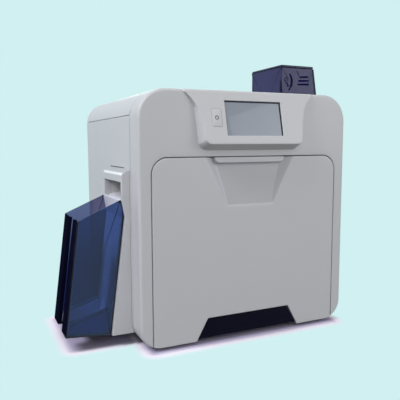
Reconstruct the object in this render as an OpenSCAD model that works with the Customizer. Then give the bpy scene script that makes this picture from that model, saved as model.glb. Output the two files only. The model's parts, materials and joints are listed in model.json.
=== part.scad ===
// ID card printer: a desktop reverse-transfer machine with a drop-down front door, a top cover
// hinged at the back, a lift-out card hopper in the cover and a card tray hung on its left side.
// X runs to the right, Y from the front to the back, Z up. The origin is on the table, under the
// middle of the body. Millimetres.

/* [Body] */
// Width across the front fascia
body_w = 340; // [334:1:360]
// Depth from the front face to the back
body_d = 300; // [296:1:340]
// Height of the body above the table
body_h = 360; // [356:1:380]
// Height of the rubber feet
foot_h = 4; // [3:0.5:8]
// Depth of the front fascia, up to its seam with the covers
fascia_d = 36; // [34:0.5:38]
// Radius of the long upper edges
top_r = 40; // [36:1:44]
// Radius of the long lower edges
bottom_r = 29; // [24:1:30]
// Radius of the upright rear edges
rear_r = 6; // [4:0.5:9]
// Wall of the moulded shells
wall = 2.5; // [2:0.1:3]
// Gap at a seam between two shells
seam = 0.5; // [0.3:0.1:1]
// Height of the top cover above its seam
cover_h = 34.5; // [32:0.5:38]
// Height of the lower edge of the side covers above the table
skirt_z = 12; // [11:0.5:14]

/* [Front door] */
// Width of the door
door_w = 303; // [296:1:308]
// Height of the fascia above the door
brow_h = 92.5; // [90:0.5:96]
// Radius of the door's upper corners
door_r = 22.5; // [18:0.5:28]
// Thickness of the door
door_d = 16; // [15.5:0.5:17]
// Gap round the door
door_gap = 1.1; // [0.8:0.1:1.6]
// Width of the finger grip at its upper end
grip_w = 150; // [130:1:160]
// Width of the grip's flat floor
grip_floor_w = 100; // [80:1:110]
// Width of the grip at its lower end
grip_low_w = 80; // [60:1:96]
// Height of the finger grip
grip_h = 57; // [45:1:70]
// Depth of the finger grip
grip_depth = 11; // [8:0.5:12]
// Height of the lip above the finger grip
grip_lip = 9.5; // [8:0.5:14]
// Width of the plinth plate at its upper edge
plate_top_w = 135; // [120:1:140]
// Width of the plinth plate at its lower edge
plate_low_w = 168; // [160:1:176]
// Height of the plinth plate
plate_h = 27.5; // [22:0.5:28]
// Gap between the plinth plate and the door
plate_gap = 1.5; // [1:0.1:2]

/* [Control console] */
// Height of the fascia below the body's top that the console covers
console_drop = 82.5; // [80:0.5:84]
// How far the console's lower edge stands out
console_out = 19; // [15:0.5:22]
// How far its upper edge stands out
console_top_out = 2; // [1.5:0.5:4]
// Width of the console's foot on the fascia
console_foot_w = 168; // [164:1:176]
// Width of the console's face
console_face_w = 158; // [154:1:162]
// Width of the flare where the console runs out at the top
console_flare_w = 208; // [200:1:216]
// Width of the screen opening
screen_w = 92; // [80:0.5:96]
// Height of the screen opening
screen_h = 50; // [44:0.5:52]
// Depth of the glass below the face
screen_sink = 1.8; // [1:0.1:2]
// Width of the power button
button_w = 12.5; // [10:0.5:14]
// Height of the power button
button_h = 23; // [18:0.5:26]
// Travel of the power button
button_travel = 1; // [0.5:0.1:1.2]

/* [Card path] */
// Long side of a card
card_l = 85.6; // [80:0.1:86]
// Short side of a card
card_w = 54; // [50:0.1:54]
// Middle of the card path behind the front face
lane_y = 91; // [90.5:0.5:94]
// Height of the card path below the cover's seam
lane_drop = 33.5; // [32:0.5:35]
// Width of the card exit
exit_w = 88; // [87:0.5:90]
// Height of the upper edge of the card exit
exit_top = 233.5; // [230:0.5:236]
// Height of the lower edge of the card exit
exit_low = 203; // [200:0.5:206]

/* [Input hopper] */
// Place of the hopper's left wall right of the body's middle
feed_x = 81.5; // [80:0.5:84]
// Width of the hopper at its lid
feed_top_w = 62; // [60:0.5:64]
// Width of the hopper at the cover
feed_low_w = 69; // [66:0.5:71]
// Depth of the hopper from front to back
feed_d = 89; // [88.5:0.5:91]
// Height of the hopper above the body
feed_rise = 49; // [40:1:60]
// Wall of the hoppers
hopper_wall = 1.5; // [1.2:0.1:1.6]
// Lift that clears the hopper from its socket
feed_lift = 60; // [20:1:80]

/* [Output hopper] */
// Lean of the output hopper from upright
tray_lean = 7.5; // [6:0.5:9]
// Depth of the output hopper from front to back
tray_d = 92; // [91:0.5:94]
// Width of the output hopper away from the body
tray_w = 64; // [60:0.5:68]
// Height of the output hopper at its outer wall
tray_outer_h = 158; // [140:1:165]
// Height of the output hopper at its inner wall
tray_inner_h = 192; // [186:1:194]
// Width of the finger slot in its outer wall
tray_slot_w = 32; // [24:1:40]
// Lift that clears its hooks
tray_lift = 16; // [10:1:18]
// How far the exit housing stands out of the side
boss_out = 11; // [9:0.5:13]

/* [Print engine] */
// Width of the transfer film and the ink ribbon
web_w = 88; // [86:0.5:89]
// Thickness of the film and the ribbon
web_t = 0.3; // [0.2:0.05:0.4]
// Radius of the platen roller
platen_r = 11; // [10:0.5:12]
// Radius of the heated transfer roller
heat_r = 20; // [18:0.5:21]
// Radius of the card drive rollers
drive_r = 8; // [7:0.5:9]
// Radius of the pinch rollers above the path
pinch_r = 6; // [5:0.5:7]
// Radius of the feed roller below the input hopper
pick_r = 12; // [11:0.5:13]
// Radius of the roller shafts
shaft_r = 3; // [2.5:0.1:3.5]
// Radial clearance of a shaft in its bearing
run_fit = 0.05; // [0.02:0.01:0.1]
// Radius of the full film spool
film_full_r = 30; // [26:0.5:32]
// Radius of the film take-up spool
film_take_r = 26; // [22:0.5:28]
// Radius of the full ribbon spool
ribbon_full_r = 22; // [18:0.5:24]
// Radius of the ribbon take-up spool
ribbon_take_r = 18; // [15:0.5:22]
// Gear module of the take-up drives
gear_m = 1; // [0.8:0.05:1.1]
// Teeth of the take-up gears
gear_z = 40; // [36:1:42]
// Teeth of the motor pinions
pinion_z = 12; // [10:1:14]
// Thickness of the chassis plates
plate_t = 2; // [1.5:0.1:2.5]

/* [Hidden] */

// Overlap that makes two joined shapes one solid, and gap between two seated pieces.
eps = 0.02;
seat = 0.3;

front_y = -body_d / 2;
back_y = body_d / 2;
side_x = body_w / 2;
covers_y = front_y + fascia_d;
seam_z = body_h - cover_h;
door_top = body_h - brow_h;
door_low = foot_h + 1;
door_back = front_y + door_d;
hinge_y = front_y + 8;
plate_back = front_y + 7;
hinge_z = foot_h + 9;
knuckle_r = 6;
hook_x = 58;
ear_x = 120;
ear_w = 16;
ear_t = 5;
pin_r = 2.5;

// Console: its face leans back, and x and y on it start at the middle of its lower edge.
face_low = body_h - console_drop + 8;
face_high = body_h - 2;
face_tilt = atan((console_out - console_top_out) / (face_high - face_low));
face_rise = (face_high - face_low) / cos(face_tilt);
screen_y = (face_high - face_low) / 2 / cos(face_tilt);
button_x = -screen_w / 2 - 17.5;
glass_t = 1.2;
glass_rim = 2;
face_wall = screen_sink + glass_t + 0.1;

// Card lane: its middle in Y, and the path's height.
lane = front_y + lane_y;
lane_z = seam_z - lane_drop;
lane_y0 = lane - web_w / 2;
lane_y1 = lane + web_w / 2;
nip = 1.5;

// Chassis plates, front and rear of the lane, and the gear bay behind them.
frontp_y = lane_y0 - 8.5 - plate_t;
rearp_y = lane_y1 + 8.5;
bay_y = rearp_y + plate_t;
gearbox_y = bay_y + 12;
gear_top = lane_z - 42;
chassis_low = foot_h + wall + seat + 2;
chassis_x = [-side_x + 24, side_x - 20];
flange_x = side_x - 34;

// Rollers, as [x, z, radius] in the film's order of travel.
film_supply_c = [-side_x + 78, lane_z - 200];
film_take_c = [-side_x + 78, lane_z - 100];
film_guide_c = [46, lane_z - 164];
guide_r = 4;
platen_c = [58, lane_z - 114];
heat_c = [10, lane_z - nip - heat_r];
back_c = [10, lane_z + nip + 12];
backing_r = 12;
drive_right_x = 60;
drive_left_x = -34;
drive_z = lane_z - drive_r - 0.6;
pinch_z = lane_z + pinch_r + 0.6;
flipper_c = [-side_x + 90, lane_z];
flipper_r = 33;
pick_c = [112, lane_z + 9.7 - pick_r];

ribbon_supply_c = [side_x - 52, lane_z - 56];
ribbon_take_c = [side_x - 52, lane_z - 172];
pin_c = [[76, lane_z - 84], [76, lane_z - 144]];
pin_web_r = 3;
head_c = [100, lane_z - 76];
tip_z = platen_c.y;

film_path = [[film_supply_c.x, film_supply_c.y, film_full_r],
    [film_guide_c.x, film_guide_c.y, guide_r], [platen_c.x, platen_c.y, platen_r],
    [heat_c.x, heat_c.y, heat_r], [film_take_c.x, film_take_c.y, film_take_r]];
ribbon_path = [[ribbon_supply_c.x, ribbon_supply_c.y, ribbon_full_r],
    [pin_c[0].x, pin_c[0].y, pin_web_r], [pin_c[1].x, pin_c[1].y, pin_web_r],
    [ribbon_take_c.x, ribbon_take_c.y, ribbon_take_r]];

// Belt: the pulleys of the card drive, and the motor's own.
belt_t = 1.5;
belt_w = 6;
pulley_r = 9;
motor_pulley_r = 6;
belt_motor_c = [14, lane_z - 74];
belt_path = [[drive_left_x, drive_z, pulley_r], [belt_motor_c.x, belt_motor_c.y, motor_pulley_r],
    [drive_right_x, drive_z, pulley_r]];

gear_gap = 0.15;
pinion_d = gear_m * (gear_z + pinion_z) / 2 + gear_gap;
film_pinion_c = [film_take_c.x, film_take_c.y - pinion_d];
ribbon_pinion_c = [ribbon_take_c.x, ribbon_take_c.y + pinion_d];

// Output hopper: u runs outwards along its floor, w up along its inner wall.
boss_x = -side_x - boss_out;
boss_top = exit_top + 12;
tray_foot = [-side_x - 29.3, foot_h + 14];
tray_y0 = lane - tray_d / 2;
tray_drop = 3.4;
tray_step = 7.2;
tray_shoulder = 24;

// Input hopper.
feed_top = body_h + feed_rise;
feed_floor = lane_z + 8;
feed_y0 = lane - feed_d / 2;
feed_y1 = lane + feed_d / 2;
lid_t = 4;
socket_gap = 0.4;
socket_t = 1.6;

cover_pin_y = back_y + 1;
cover_pin_r = 1.5;
cover_knuckle_r = 3.5;
cover_hinge_x = 110;
cover_hinge_w = 44;

fan_c = [-side_x + 82, lane_z - 56];
fan_w = 80;
fan_t = 25;
fan_y0 = back_y - wall - seat - fan_t;
board_z = foot_h + 26;
board_low = [16, 30];
board_high = [side_x - 24, back_y - 8];
// Data sockets on the board, each [x0, x1, top, opening width, opening height].
sockets = [[59.5, 71.5, 44, 8, 8], [89.5, 106, 46, 12, 8]];
inlet_c = [-side_x + 48, foot_h + 40];
switch_c = [-side_x + 92, foot_h + 40];
rocker_tilt = 8;

// ---------------------------------------------------------------- shapes used by many pieces

// Extrudes a shape drawn in X and Z from y0 to y1.
module along_y(y0, y1) {
    translate([0, y1, 0]) rotate([90, 0, 0]) linear_extrude(y1 - y0) children();
}

// A round bar along Y.
module y_rod(c, y0, y1, r) {
    translate([c.x, y1, c.y]) rotate([90, 0, 0]) cylinder(h = y1 - y0, r = r, $fn = 64);
}

// A round bar along X.
module x_rod(x0, x1, y, z, r) {
    translate([x0, y, z]) rotate([0, 90, 0]) cylinder(h = x1 - x0, r = r, $fn = 48);
}

// A block given by its lowest and highest corners.
module block(a, b) {
    translate(a) cube(b - a);
}

// Rectangle from a to b with corner radius rt above and rb below.
module round_box(a, b, rt, rb) {
    w = b.x - a.x;
    translate([a.x, a.y + rb]) square([w, b.y - a.y - rb - rt]);
    translate([a.x + rt, b.y - rt - eps]) square([w - 2 * rt, rt + eps]);
    translate([a.x + rb, a.y]) square([w - 2 * rb, rb + eps]);
    for (s = [0, 1]) {
        translate([s == 0 ? a.x + rt : b.x - rt, b.y - rt]) circle(r = rt, $fn = 96);
        translate([s == 0 ? a.x + rb : b.x - rb, a.y + rb]) circle(r = rb, $fn = 96);
    }
}

// The body seen from the front, drawn in by a given inset.
module front_form(inset) {
    round_box([-side_x + inset, foot_h + inset], [side_x - inset, body_h - inset],
        top_r - inset, bottom_r - inset);
}

// The whole body from y0 to the back, drawn in by a given inset.
module body_form(inset, y0) {
    intersection() {
        along_y(y0, back_y - inset) front_form(inset);
        linear_extrude(body_h + 1) plan_form(inset, y0);
    }
}

// The body seen from above, with its rear corners rounded.
module plan_form(inset, y0) {
    r = rear_r - inset;
    x = side_x - inset;
    y = back_y - inset;
    translate([-x, y0 - 1]) square([2 * x, y - r - y0 + 1]);
    translate([-x + r, y0 - 1]) square([2 * (x - r), y - y0 + 1]);
    for (s = [-1, 1]) translate([s * (x - r), y - r]) circle(r = r, $fn = 48);
}

// The outer skin of the covers, from the seam behind the fascia to the back.
module cover_skin() {
    difference() {
        body_form(0, covers_y + seam);
        body_form(wall, covers_y - 1);
    }
}

// Places something on the console's face: x across, y up the slope, z out of it.
module on_face() {
    translate([0, front_y - console_out, face_low]) rotate([90 - face_tilt, 0, 0]) children();
}

// Places something in the output hopper's leaning frame: x outwards, y up, extruded along Y.
module on_tray(y0, y1) {
    translate([tray_foot.x, 0, tray_foot.y]) rotate([0, tray_lean, 0]) mirror([1, 0, 0])
        along_y(y0, y1) children();
}

// Teeth of a spur gear, as one outline with straight-sided teeth.
function gear_points(m, z) = let (rp = m * z / 2, ra = rp + 0.9 * m, rf = rp - 1.15 * m, p = 360 / z)
    [for (i = [0 : z - 1], k = [[rf, -0.33], [ra, -0.12], [ra, 0.12], [rf, 0.33]])
        k[0] * [cos((i + k[1]) * p), sin((i + k[1]) * p)]];

// A spur gear about an axis along Y.
module gear(c, y0, y1, m, z, turn, bore) {
    difference() {
        translate([c.x, 0, c.y]) along_y(y0, y1) rotate(turn) polygon(gear_points(m, z));
        y_rod(c, y0 - 1, y1 + 1, bore);
    }
}

// Direction of the common tangent's outward normal, from one roller of a web to the next.
function tangent_dir(a, b) = let (d = [b.x - a.x, b.y - a.y])
    atan2(d.y, d.x) - acos((a.z - b.z) / norm(d));

// Points where a web lies on roller i of its path, h outside the roller's surface.
function wrap(path, i, h) = let (n = len(path), c = path[i],
        a0 = i == 0 ? tangent_dir(c, path[1]) : tangent_dir(path[i - 1], c),
        a1 = i == n - 1 ? a0 : tangent_dir(c, path[i + 1]),
        sweep = a1 - a0 < -180 ? a1 - a0 + 360 : a1 - a0, steps = max(1, ceil(abs(sweep) / 12)))
    [for (k = [0 : steps]) let (a = a0 + sweep * k / steps)
        [c.x + (c.z + h) * cos(a), c.y + (c.z + h) * sin(a)]];

// A web that runs round the outside of its rollers, open at both ends.
module web(path, y0, y1, h, t) {
    n = len(path);
    outer = [for (i = [0 : n - 1], p = wrap(path, i, h + t)) p];
    inner = [for (i = [0 : n - 1], p = wrap(path, i, h)) p];
    last = len(inner) - 1;
    along_y(y0, y1) polygon(concat(outer, [for (k = [0 : last]) inner[last - k]]));
}

// A roller: a covered body between two collars on a shaft that runs in both chassis plates.
module roller(c, r, y0 = lane_y0, y1 = lane_y1, tail = 0) {
    y_rod(c, y0, y1, r);
    y_rod(c, frontp_y, bay_y + tail, shaft_r);
    y_rod(c, frontp_y + plate_t + seat, y0, shaft_r + 1.5);
    y_rod(c, y1, rearp_y - seat, shaft_r + 1.5);
}

// Holes in a chassis plate for a list of shafts.
module shaft_holes(list, y0, y1) {
    for (c = list) y_rod(c, y0, y1, shaft_r + run_fit);
}

// ---------------------------------------------------------------- casing

// Shape of the door opening, grown by g on its three closed sides.
module door_shape(g) {
    w = door_w / 2 + g;
    r = door_r + g;
    translate([-w, -g]) square([2 * w, door_top + g - r + g]);
    translate([-w + r, 0]) square([2 * (w - r), door_top + g]);
    for (s = [-1, 1]) translate([s * (w - r), door_top + g - r]) circle(r = r, $fn = 96);
}

// Shape of the plinth plate, grown by g.
module plate_shape(g) {
    low = foot_h + 3.5;
    polygon([[-plate_low_w / 2 - g, low - g], [plate_low_w / 2 + g, low - g],
        [plate_top_w / 2 + g * 0.75, low + plate_h + g],
        [-plate_top_w / 2 - g * 0.75, low + plate_h + g]]);
}

// The console's swelling, drawn in by a given inset, with its back at y.
module console_form(inset, back) {
    foot = console_foot_w / 2 - inset;
    face = console_face_w / 2 - inset;
    low = body_h - console_drop + inset;
    r = 14 - inset;
    hull() {
        along_y(front_y + back, front_y + back + 0.2) {
            translate([-foot, low]) intersection() {
                round_box([0, 0], [2 * foot, 60], r, r);
                square([2 * foot, 50]);
            }
            translate([-foot - 4, low + 48]) square([2 * foot + 8, console_drop - 50 - 2 * inset]);
        }
        on_face() translate([0, 0, -inset]) linear_extrude(0.1, center = true)
            translate([-face, inset]) round_box([0, 0], [2 * face, face_rise - 2 * inset], 4, 9);
    }
}

// Front fascia: a deep ring round the door with the control console above it.
module front_fascia() {
    color("gainsboro") difference() {
        union() {
            difference() {
                along_y(front_y, covers_y) front_form(0);
                along_y(front_y + 3, covers_y + 1) front_form(3);
            }
            // Pocket walls and stop flange round the door.
            intersection() {
                along_y(front_y + 1, door_back + 3) difference() {
                    door_shape(door_gap + 2.5);
                    door_shape(-8);
                    square([2 * side_x, 2 * (foot_h + 30)], center = true);
                }
                along_y(front_y, covers_y) front_form(1);
            }
            // Tongue that enters the side covers.
            intersection() {
                along_y(covers_y - 8, covers_y + 5) difference() {
                    front_form(wall + seat);
                    front_form(wall + seat + 2);
                }
                block([-side_x, covers_y - 9, skirt_z + 11], [side_x, covers_y + 6, seam_z]);
            }
            console_form(0, -0.1);
            console_flare();
        }
        along_y(front_y - 1, door_back + seat) door_shape(door_gap);
        along_y(front_y - 1, covers_y + 6)
            square([door_w + 2 * door_gap, 2 * (foot_h + 30)], center = true);
        console_form(face_wall, 3.4);
        on_face() screen_cut();
    }
}

// The run-out of the console's flanks at the top of the fascia.
module console_flare() {
    top = body_h - 4;
    half = console_foot_w / 2;
    wide = console_flare_w / 2;
    along_y(front_y - 0.8, front_y + 0.5) polygon([[-half - 6, top - 26], [half + 6, top - 26],
        [half + 9, top - 14], [wide - 4, top - 5], [wide, top], [-wide, top], [-wide + 4, top - 5],
        [-half - 9, top - 14]]);
}

// Openings in the console's face for the screen, its glass and the button.
module screen_cut() {
    translate([-screen_w / 2, screen_y - screen_h / 2, -8]) cube([screen_w, screen_h, 12]);
    translate([-screen_w / 2 - glass_rim, screen_y - screen_h / 2 - glass_rim, -8])
        cube([screen_w + 2 * glass_rim, screen_h + 2 * glass_rim, 8 - screen_sink]);
    translate([button_x, screen_y, -8]) button_form(seat, 12);
}

// Upright rounded pad, grown by g, of height h.
module button_form(g, h) {
    w = button_w / 2 + g;
    v = button_h / 2 + g;
    linear_extrude(h) round_box([-w, -v], [w, v], 2 + g, 2 + g);
}

module screen_glass() {
    w = screen_w / 2 + glass_rim - 0.15;
    v = screen_h / 2 + glass_rim - 0.15;
    color("slategray") on_face() translate([0, 0, -screen_sink - glass_t])
        block([-w, screen_y - v, 0], [w, screen_y + v, glass_t]);
}

// Display behind the glass, with its metal frame and flat connector.
module screen_module() {
    w = screen_w / 2 + 4;
    v = screen_h / 2 + 3.2;
    color("silver") on_face() translate([0, screen_y, -face_wall - 0.1 - 4]) {
        block([-w, -v, 0], [w, v, 4]);
        block([-w + 8, -v + 6, -1.5], [-w + 38, v - 6, eps]);
    }
}

// Circuit board behind the display, with its spacers and the push switch.
module console_board() {
    back = -face_wall - 0.1 - 4 - 5;
    color("darkgreen") on_face() {
        translate([0, screen_y, back - 1.6])
            block([button_x - 8, -screen_h / 2 + 3, 0], [screen_w / 2 + 2, screen_h / 2 - 6, 1.6]);
        for (x = [-screen_w / 2 + 2, screen_w / 2 - 4], y = [-12, 10])
            translate([x, screen_y + y, back - eps]) cylinder(h = 5 - seat, r = 1.5, $fn = 24);
        translate([button_x - 3, screen_y - 3, back - eps]) cube([6, 6, 3]);
    }
}

// Power button: the pad, a flange behind the face and the stem on the switch.
module power_button() {
    flange_z = -face_wall - 0.1;
    stem = 4 + 5 - 3 - button_travel - 0.2;
    color("whitesmoke") on_face() translate([button_x, screen_y, 0]) {
        translate([0, 0, flange_z - eps]) button_form(0, -flange_z + 0.3);
        translate([0, 0, flange_z - 0.8]) button_form(1.5, 0.8);
        translate([0, 0, flange_z - stem]) cylinder(h = stem, r = 2, $fn = 24);
    }
}

// Base tray: floor, upstand inside the covers, and the ears of the door's hinge.
module base_tray() {
    tray_y = front_y + 22;
    color("dimgray") difference() {
        union() {
            intersection() {
                body_form(0.5, covers_y + seam);
                difference() {
                    block([-side_x, tray_y, foot_h], [side_x, back_y, skirt_z - seam]);
                    body_form(3, tray_y + 3);
                }
            }
            intersection() {
                difference() {
                    body_form(wall + seat, covers_y + seam + 1);
                    body_form(wall + seat + 2, tray_y + 2);
                }
                block([-side_x, tray_y, foot_h], [side_x, back_y, skirt_z + 10]);
            }
            intersection() {
                difference() {
                    body_form(3 + seat, tray_y);
                    body_form(wall + seat + 2, tray_y + 2);
                }
                block([-side_x, tray_y, foot_h], [side_x, covers_y + seam + 2, skirt_z + 10]);
            }
            for (s = [-1, 1], e = [-1, 1]) hinge_ear(s * ear_x + e * (ear_w + ear_t + 1) / 2);
            for (x = [-120, 120], y = [tray_y + 26, back_y - 34]) block([x - 8, y - 8, foot_h + 1],
                [x + 8, y + 8, chassis_low]);
        }
        for (s = [-1, 1]) x_rod(s * ear_x - 30, s * ear_x + 30, hinge_y, hinge_z, pin_r);
        for (x = [-84 : 12 : 84]) block([x - 3, back_y - 110, foot_h - 1], [x + 3, back_y - 60, foot_h + 6]);
    }
}

// One ear of the door's hinge, with its arm back to the tray.
module hinge_ear(x) {
    x_rod(x - ear_t / 2, x + ear_t / 2, hinge_y, hinge_z, knuckle_r);
    block([x - ear_t / 2, hinge_y, hinge_z - 5.5], [x + ear_t / 2, front_y + 23, hinge_z + 4]);
}

module rubber_feet() {
    color("black") for (x = [-118, 118], y = [front_y + 34, back_y - 26]) {
        translate([x, y, 0]) cylinder(h = foot_h, r1 = 10, r2 = 12, $fn = 48);
    }
}

// One side cover: skin, skirt and rear wrap. s is -1 on the left and 1 on the right.
module side_cover(s) {
    x_in = side_x - 14;
    intersection() {
        cover_skin();
        block([s > 0 ? x_in : -side_x - 1, covers_y, skirt_z],
            [s > 0 ? side_x + 1 : -x_in, back_y + 1, seam_z - seam]);
    }
    // Ribs that stiffen the skin and seat the chassis.
    for (y = [covers_y + 60, back_y - 60]) {
        block([s > 0 ? side_x - wall - 6 : -side_x + wall - eps, y, 60],
            [s > 0 ? side_x - wall + eps : -side_x + wall + 6, y + 2, seam_z - 20]);
    }
}

module left_side_cover() {
    color("gainsboro") difference() {
        side_cover(-1);
        block([-side_x - 2, lane - exit_w / 2 - 2, exit_low - 2],
            [-side_x + 12, lane + exit_w / 2 + 2, exit_top + 2]);
    }
}

module right_side_cover() {
    color("gainsboro") side_cover(1);
}

// Rear cover with its fan grille, vents, sockets and hinge knuckles.
module rear_cover() {
    x_in = side_x - 14 - seam;
    color("lightgray") difference() {
        union() {
            intersection() {
                cover_skin();
                block([-x_in, back_y - wall - 1, skirt_z], [x_in, back_y + 1, seam_z - seam]);
            }
            for (s = [-1, 1]) cover_knuckle(s * cover_hinge_x, -1);
        }
        for (s = [-1, 1]) {
            x_rod(s * cover_hinge_x - 40, s * cover_hinge_x + 40, cover_pin_y, seam_z, cover_pin_r);
            x_rod(s * cover_hinge_x - cover_hinge_w / 6 - seat, s * cover_hinge_x + cover_hinge_w / 6
                + seat, cover_pin_y, seam_z, cover_knuckle_r + seat);
        }
        for (k = [-4 : 4]) fan_slot(k * 8);
        for (k = [0 : 7]) block([30 + k * 12, back_y - 5, lane_z - 162], [36 + k * 12, back_y + 5,
            lane_z - 102]);
        block([inlet_c.x - 14, back_y - 5, inlet_c.y - 10.3], [inlet_c.x + 14, back_y + 5,
            inlet_c.y + 10.3]);
        block([switch_c.x - 9.3, back_y - 5, switch_c.y - 13.3], [switch_c.x + 9.3, back_y + 5,
            switch_c.y + 13.3]);
        for (k = sockets) block([k[0] - 0.4, back_y - 5, board_z + 1], [k[1] + 0.4, back_y + 5,
            k[2] + 0.4]);
    }
}

// One slot of the fan grille, cut to the round of the fan.
module fan_slot(dx) {
    half = sqrt(36 * 36 - dx * dx);
    block([fan_c.x + dx - 2.5, back_y - 5, fan_c.y - half], [fan_c.x + dx + 2.5, back_y + 5,
        fan_c.y + half]);
}

// Knuckles of the top cover's hinge: the two outer ones, or with which 1 the middle one.
module cover_knuckle(x, which) {
    third = cover_hinge_w / 3;
    for (k = which > 0 ? [0] : [-1, 1]) {
        x0 = x + (k - 0.5) * third + (k == 0 ? 0 : (k < 0 ? 0 : seat));
        x1 = x + (k + 0.5) * third - (k == 0 ? 0 : (k < 0 ? seat : 0));
        x_rod(x0, x1, cover_pin_y, seam_z, cover_knuckle_r);
        if (which > 0) block([x0, back_y - wall, seam_z], [x1, cover_pin_y + cover_knuckle_r - 1,
            seam_z + 8]);
        if (which < 0) block([x0, back_y - wall, seam_z - 8], [x1, cover_pin_y + cover_knuckle_r - 1,
            seam_z]);
    }
}

// Top cover: the rounded lid of the body, with the socket that holds the input hopper.
module top_cover() {
    x0 = feed_x - socket_gap;
    x1 = feed_x + feed_low_w + socket_gap;
    y0 = feed_y0 - socket_gap;
    y1 = feed_y1 + socket_gap;
    color("gainsboro") difference() {
        union() {
            intersection() {
                cover_skin();
                block([-side_x - 1, covers_y, seam_z + seam / 2], [side_x + 1, back_y + 1, body_h + 1]);
            }
            block([x0 - socket_t, y0 - socket_t, feed_floor - 2], [x1 + socket_t, y1 + socket_t,
                body_h - wall + eps]);
            for (s = [-1, 1]) {
                cover_knuckle(s * cover_hinge_x, 1);
                for (y = [covers_y + 40 : 70 : back_y - 40]) cover_rib(s, y);
            }
        }
        block([x0, y0, feed_floor - seat], [x1, y1, body_h + 1]);
        block([x0 + 5, y0 + 5, feed_floor - 5], [x1 - 14, y1 - 5, feed_floor]);
        for (s = [-1, 1]) {
            x_rod(s * cover_hinge_x - 40, s * cover_hinge_x + 40, cover_pin_y, seam_z,
                cover_pin_r + run_fit);
            for (e = [-1, 1]) x_rod(s * cover_hinge_x + e * cover_hinge_w / 3 - cover_hinge_w / 6
                - seat, s * cover_hinge_x + e * cover_hinge_w / 3 + cover_hinge_w / 6 + seat,
                cover_pin_y, seam_z, cover_knuckle_r + seat);
        }
    }
}

// A web across the rounded corner of the cover.
module cover_rib(s, y) {
    intersection() {
        body_form(wall - eps, covers_y);
        difference() {
            block([s > 0 ? side_x - top_r : -side_x, y, seam_z + 2],
                [s > 0 ? side_x : -side_x + top_r, y + 2, body_h]);
            along_y(y - 1, y + 3) front_form(wall + 6);
        }
    }
}

module top_cover_hinge_pins() {
    color("silver") for (s = [-1, 1]) x_rod(s * cover_hinge_x - cover_hinge_w / 2,
        s * cover_hinge_x + cover_hinge_w / 2, cover_pin_y, seam_z, cover_pin_r);
}

// Bare plate that is fixed in the recess at the door's foot.
module plinth_plate() {
    color("midnightblue") along_y(front_y + 1, plate_back) plate_shape(0);
}

// ---------------------------------------------------------------- front door

// Hollow of the finger grip, grown by g.
module grip_form(g) {
    top = door_top - grip_lip + g;
    low = top - grip_h - 2 * g;
    hull() {
        block([-grip_w / 2 - g, front_y - 1, top - 8], [grip_w / 2 + g, front_y + 0.1, top]);
        block([-grip_low_w / 2 - g, front_y - 1, low], [grip_low_w / 2 + g, front_y + 0.1, low + 1]);
        block([-grip_floor_w / 2 - g, front_y, top - 9], [grip_floor_w / 2 + g, front_y + grip_depth
            + g, top - 1]);
        block([-grip_low_w / 2 + 8, front_y, low + 6], [grip_low_w / 2 - 8, front_y + 1.5 + g,
            low + 8]);
    }
}

// Door: a shell with a rolled rim, the finger grip, the recess for the plate and two knuckles.
module front_door() {
    color("gainsboro") difference() {
        union() {
            difference() {
                door_solid(0, front_y, door_back);
                door_solid(3, front_y + 3, door_back + 1);
            }
            intersection() {
                grip_form(2);
                door_solid(1, front_y, door_back);
            }
            intersection() {
                along_y(front_y + 1, door_back) plate_shape(plate_gap + 3);
                door_solid(1, front_y, door_back);
            }
            for (s = [-1, 1]) {
                x_rod(s * ear_x - ear_w / 2 + seat, s * ear_x + ear_w / 2 - seat, hinge_y, hinge_z,
                    knuckle_r);
                block([s * ear_x - ear_w / 2 + seat, front_y + 1, hinge_z - 3],
                    [s * ear_x + ear_w / 2 - seat, hinge_y - 4, hinge_z + 12]);
                latch_hook(s * hook_x);
            }
        }
        grip_form(0);
        along_y(front_y - 1, plate_back) plate_shape(plate_gap);
        along_y(front_y - 1, plate_back) translate([-plate_low_w / 2 - plate_gap, 0])
            square([plate_low_w + 2 * plate_gap, foot_h + 4]);
        for (s = [-1, 1]) {
            x_rod(s * ear_x - 30, s * ear_x + 30, hinge_y, hinge_z, pin_r + run_fit);
            for (e = [-1, 1]) ear_pocket(s * ear_x + e * (ear_w + ear_t + 1) / 2);
        }
    }
}

// Room in the door for one hinge ear.
module ear_pocket(x) {
    block([x - ear_t / 2 - 0.4, hinge_y - knuckle_r - 0.5, 0],
        [x + ear_t / 2 + 0.4, door_back + 1, hinge_z + 9]);
}

// The door's outline from y0 to y1, drawn in by a given inset.
module door_solid(inset, y0, y1) {
    intersection() {
        along_y(y0, y1) difference() {
            door_shape(-inset);
            translate([-side_x, -10]) square([2 * side_x, 10 + door_low + inset]);
        }
        along_y(y0, y1) front_form(1 + inset);
    }
}

// Hook that enters its catch in the chassis.
module latch_hook(x) {
    z = door_top - 18;
    block([x - 3, door_back - 14, z - 3], [x + 3, door_back + 12, z + 3]);
    y = door_back + 9;
    translate([x, y, z + 2]) rotate([0, 90, 0]) cylinder(h = 6, r = 2.5, center = true, $fn = 32);
}

// Inner panel of the door, with pressed ribs, inside the rim.
module door_liner() {
    g = 3 + 0.4;
    low = foot_h + 40;
    color("whitesmoke") difference() {
        union() {
            intersection() {
                door_solid(g, door_back - 2, door_back - 0.2);
                block([-side_x, front_y, low], [side_x, door_back + 1, door_top]);
            }
            for (x = [-120, -60, 60, 120]) block([x - 2, door_back - 13 + 0.3, low + 6],
                [x + 2, door_back - 2 + eps, door_top - 84]);
        }
        for (x = [-hook_x, hook_x]) block([x - 4, door_back - 5, door_top - 26],
            [x + 4, door_back + 1, door_top - 10]);
        grip_form(2 + seat);
    }
}

module door_hinge_pins() {
    half = (ear_w + 1) / 2 + ear_t;
    color("silver") for (s = [-1, 1]) x_rod(s * ear_x - half, s * ear_x + half, hinge_y, hinge_z,
        pin_r);
}

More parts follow.
